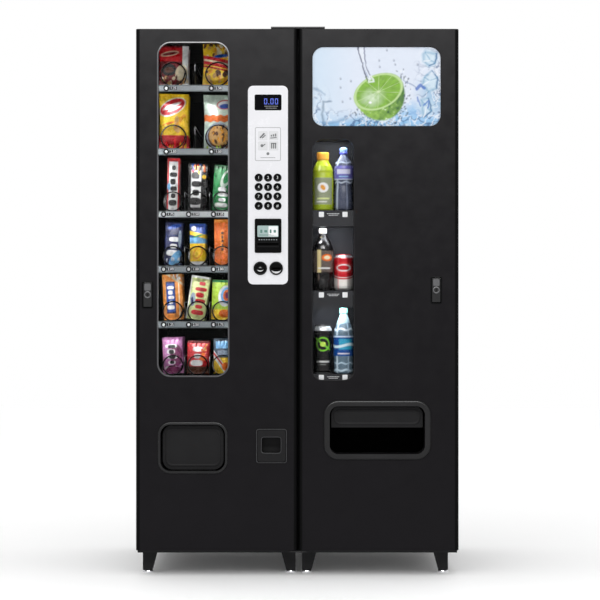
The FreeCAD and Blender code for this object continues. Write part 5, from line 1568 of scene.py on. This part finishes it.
def cabinet_details():
    """Vent blades, service panels, screws and seams on the backs, sides and tops."""
    blades, covers, seams = bmesh.new(), bmesh.new(), bmesh.new()
    heads = []
    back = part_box("snack_cabinet")[1].y
    for node_name in ("snack_cabinet", "drink_cabinet"):
        low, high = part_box(node_name)
        middle = (low.x + high.x) / 2
        for row in range(6):
            z = (120 + 26 * row) * MM
            for start in (middle - 158 * MM, middle + 8 * MM):
                ends = (start + 1 * MM, start + 149 * MM)
                rings = [[(x, back - dy * MM, z + dz * MM) for dy, dz in BLADE_SECTION] for x in ends]
                add_capped(blades, rings)
        left_margin = 60 * MM if node_name == "drink_cabinet" else 95 * MM
        frame_box = (low.x + left_margin, high.x - 60 * MM, *VENT_Z, 6 * MM)
        profile = ((0, back), (0.0006, back + 0.0014), (0.010, back + 0.0014), (0.0106, back))
        add_frame(covers, frame_box, profile, steps=4)
        upper = (low.x + 26 * MM, high.x - 26 * MM, *BACK_PANEL_Z, 8 * MM)
        profile = ((0, back), (0.0008, back + 0.0016), (0.014, back + 0.0020), (0.016, back + 0.0006),
                   (0.017, back))
        add_frame(covers, upper, profile, steps=4)
        for x in (low.x + 12 * MM, high.x - 12 * MM):
            heads += [(x, z) for z in SIDE_SCREW_Z]
        for i in range(4):
            heads += [(mix(upper[0] + 8 * MM, upper[1] - 8 * MM, i / 3), z) for z in PANEL_SCREW_Z]
        outer_x, out = (low.x, -1) if node_name == "snack_cabinet" else (high.x, 1)
        for y in (low.y + 18 * MM, high.y - 18 * MM):
            add_box(seams, (outer_x, y - 0.7 * MM, low.z + 4 * MM),
                    (outer_x + out * 0.5 * MM, y + 0.7 * MM, high.z - 4 * MM))
        add_box(seams, (low.x + 5 * MM, high.y - 20 * MM, high.z),
                (high.x - 5 * MM, high.y - 18.6 * MM, high.z + 0.5 * MM))
        seam_end = middle - 105 * MM if out > 0 else high.x - 92 * MM
        add_box(seams, (low.x + 5 * MM, low.y + 16 * MM, high.z),
                (seam_end, low.y + 17.4 * MM, high.z + 0.5 * MM))
    piece("vent_blades", blades, CABINET, "root")
    piece("back_panels", covers, CABINET, "root", smooth=40)
    piece("cabinet_seams", seams, LINER, "root")
    screws = bmesh.new()
    for x, z in heads:
        dome = [(SCREW_RADIUS * share, back + SCREW_RADIUS * rise) for share, rise in SCREW_PROFILE]
        add_lathe(screws, dome, (x, 0, z), "Y", 20)
    piece("back_screws", screws, DARK_STEEL, "root", smooth=35)


cabinet_details()


def hinge_bolts():
    """Domed washers and hexagon heads on the strap that joins the two cabinets."""
    bm = bmesh.new()
    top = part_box("hinge_plates")[1].z
    y0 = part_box("snack_cabinet")[0].y
    for x, y in ((-60, 20), (-60, 65), (65, 20), (65, 65)):
        centre = (x * MM, y0 + y * MM, 0)
        add_lathe(bm, ((0.0095, top - 0.0028), (0.0095, top - 0.0018), (0.0085, top - 0.0014)), centre, "Z",
                  28)
        add_lathe(bm, ((0.0068, top - 0.0016), (0.0068, top + 0.0012), (0.0058, top + 0.0020)), centre, "Z",
                  6)
    piece("strap_bolt_heads", bm, DARK_STEEL, "root", smooth=30)


hinge_bolts()


def glides():
    """Turned levelling feet under the legs, with a chromed stud."""
    bm, studs = bmesh.new(), bmesh.new()
    depths = (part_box("snack_cabinet")[0].y + 32 * MM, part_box("snack_cabinet")[1].y - 32 * MM)
    for node_name, left_inset, right_inset in (("snack_cabinet", 17, 7), ("drink_cabinet", 12, 30)):
        a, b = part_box(node_name)
        for x in (a.x + (left_inset + 16) * MM, b.x - (right_inset + 16) * MM):
            for y in depths:
                add_lathe(bm, ((0.0172, 0.0), (0.0182, 0.0015), (0.0182, 0.0045), (0.0165, 0.0066),
                               (0.010, 0.0072)),
                          (x, y, 0), "Z", 36)
                add_lathe(studs, ((0.0085, 0.0072), (0.0085, 0.0090), (0.0068, 0.0092), (0.0068, 0.0105)),
                          (x, y, 0), "Z", 24)
    piece("glide_pads", bm, CHROME, "root", smooth=40)
    piece("glide_nuts", studs, CHROME, "root", smooth=40)


glides()

# ---------------------------------------------------------------- stage, lights and camera


def build_stage():
    bm = bmesh.new()
    for corner in ((-9, -9, 0), (9, -9, 0), (9, 9, 0), (-9, 9, 0)):
        bm.verts.new(corner)
    bm.faces.new(bm.verts)
    mesh = bpy.data.meshes.new("floor")
    bm.to_mesh(mesh)
    bm.free()
    floor = bpy.data.objects.new("floor", mesh)
    bpy.context.scene.collection.objects.link(floor)
    pale = coated("floor_pale", (0.97, 0.97, 0.97), 0.8, 60, 0.00002, 0.004, Emission_Color=(1, 1, 1, 1),
                  Emission_Strength=0.03)
    mesh.materials.append(pale)


build_stage()


def area(name, place, target, size, energy, colour=(1, 1, 1)):
    """A soft rectangular light that faces a target."""
    light = bpy.data.lights.new(name, "AREA")
    light.shape = "RECTANGLE"
    light.size, light.size_y = size
    light.energy = energy
    light.color = colour
    lamp = bpy.data.objects.new(name, light)
    lamp.location = place
    lamp.rotation_euler = (Vector(target) - Vector(place)).to_track_quat("-Z", "Y").to_euler()
    lamp.visible_camera = False
    bpy.context.scene.collection.objects.link(lamp)
    return lamp


DISPLAY_MID, DISPLAY_CEILINGS = 0.1195, (1.452, 1.164, 0.895)


def light_everything():
    world = bpy.data.worlds.new("studio")
    bpy.context.scene.world = world
    world.use_nodes = True
    background = world.node_tree.nodes["Background"]
    background.inputs["Color"].default_value = (1, 1, 1.0, 1)
    background.inputs["Strength"].default_value = 1.0
    area("key", (-2.6, -5.0, 4.4), (0, 0, 1.2), (2.6, 2.6), 22)
    sheen = area("top_sheen", (0.0, -6.0, 4.3), (0, -0.35, 1.8), (5.0, 0.7), 850)
    sheen.visible_diffuse = False
    wash = area("floor_wash", (0.0, -1.4, 0.5), (0, -1.4, 0), (3.4, 1.6), 4.5)
    wash.visible_glossy = False
    area("rim", (0.0, 4.0, 3.6), (0, 0, 1.2), (3.0, 2.0), 14)
    for x, lean in zip(LAMP_X, (1, -1)):
        area("store_light", (x, -0.303, 1.22), (x + lean * 0.12, -0.2, 1.22), (0.02, 1.1), 4.2,
             (0.97, 0.99, 1.0))
    for i, ceiling in enumerate(DISPLAY_CEILINGS):
        area(f"display_light_{i}", (DISPLAY_MID, -0.325, ceiling), (DISPLAY_MID, -0.285, ceiling - 0.2),
             (0.12, 0.02), 0.27, (0.9, 0.95, 1.0))


light_everything()

CAMERA_PLACE, FOCAL_LENGTH, SENSOR_WIDTH = (0.009, -6.352, 0.921), 107.86, 36

camera_data = bpy.data.cameras.new("camera")
camera_data.lens = FOCAL_LENGTH
camera_data.sensor_width = SENSOR_WIDTH
camera = bpy.data.objects.new("camera", camera_data)
camera.location = CAMERA_PLACE
camera.rotation_euler = (math.pi / 2, 0, 0)
bpy.context.scene.collection.objects.link(camera)
bpy.context.scene.camera = camera
bpy.context.scene.view_settings.view_transform = "Standard"
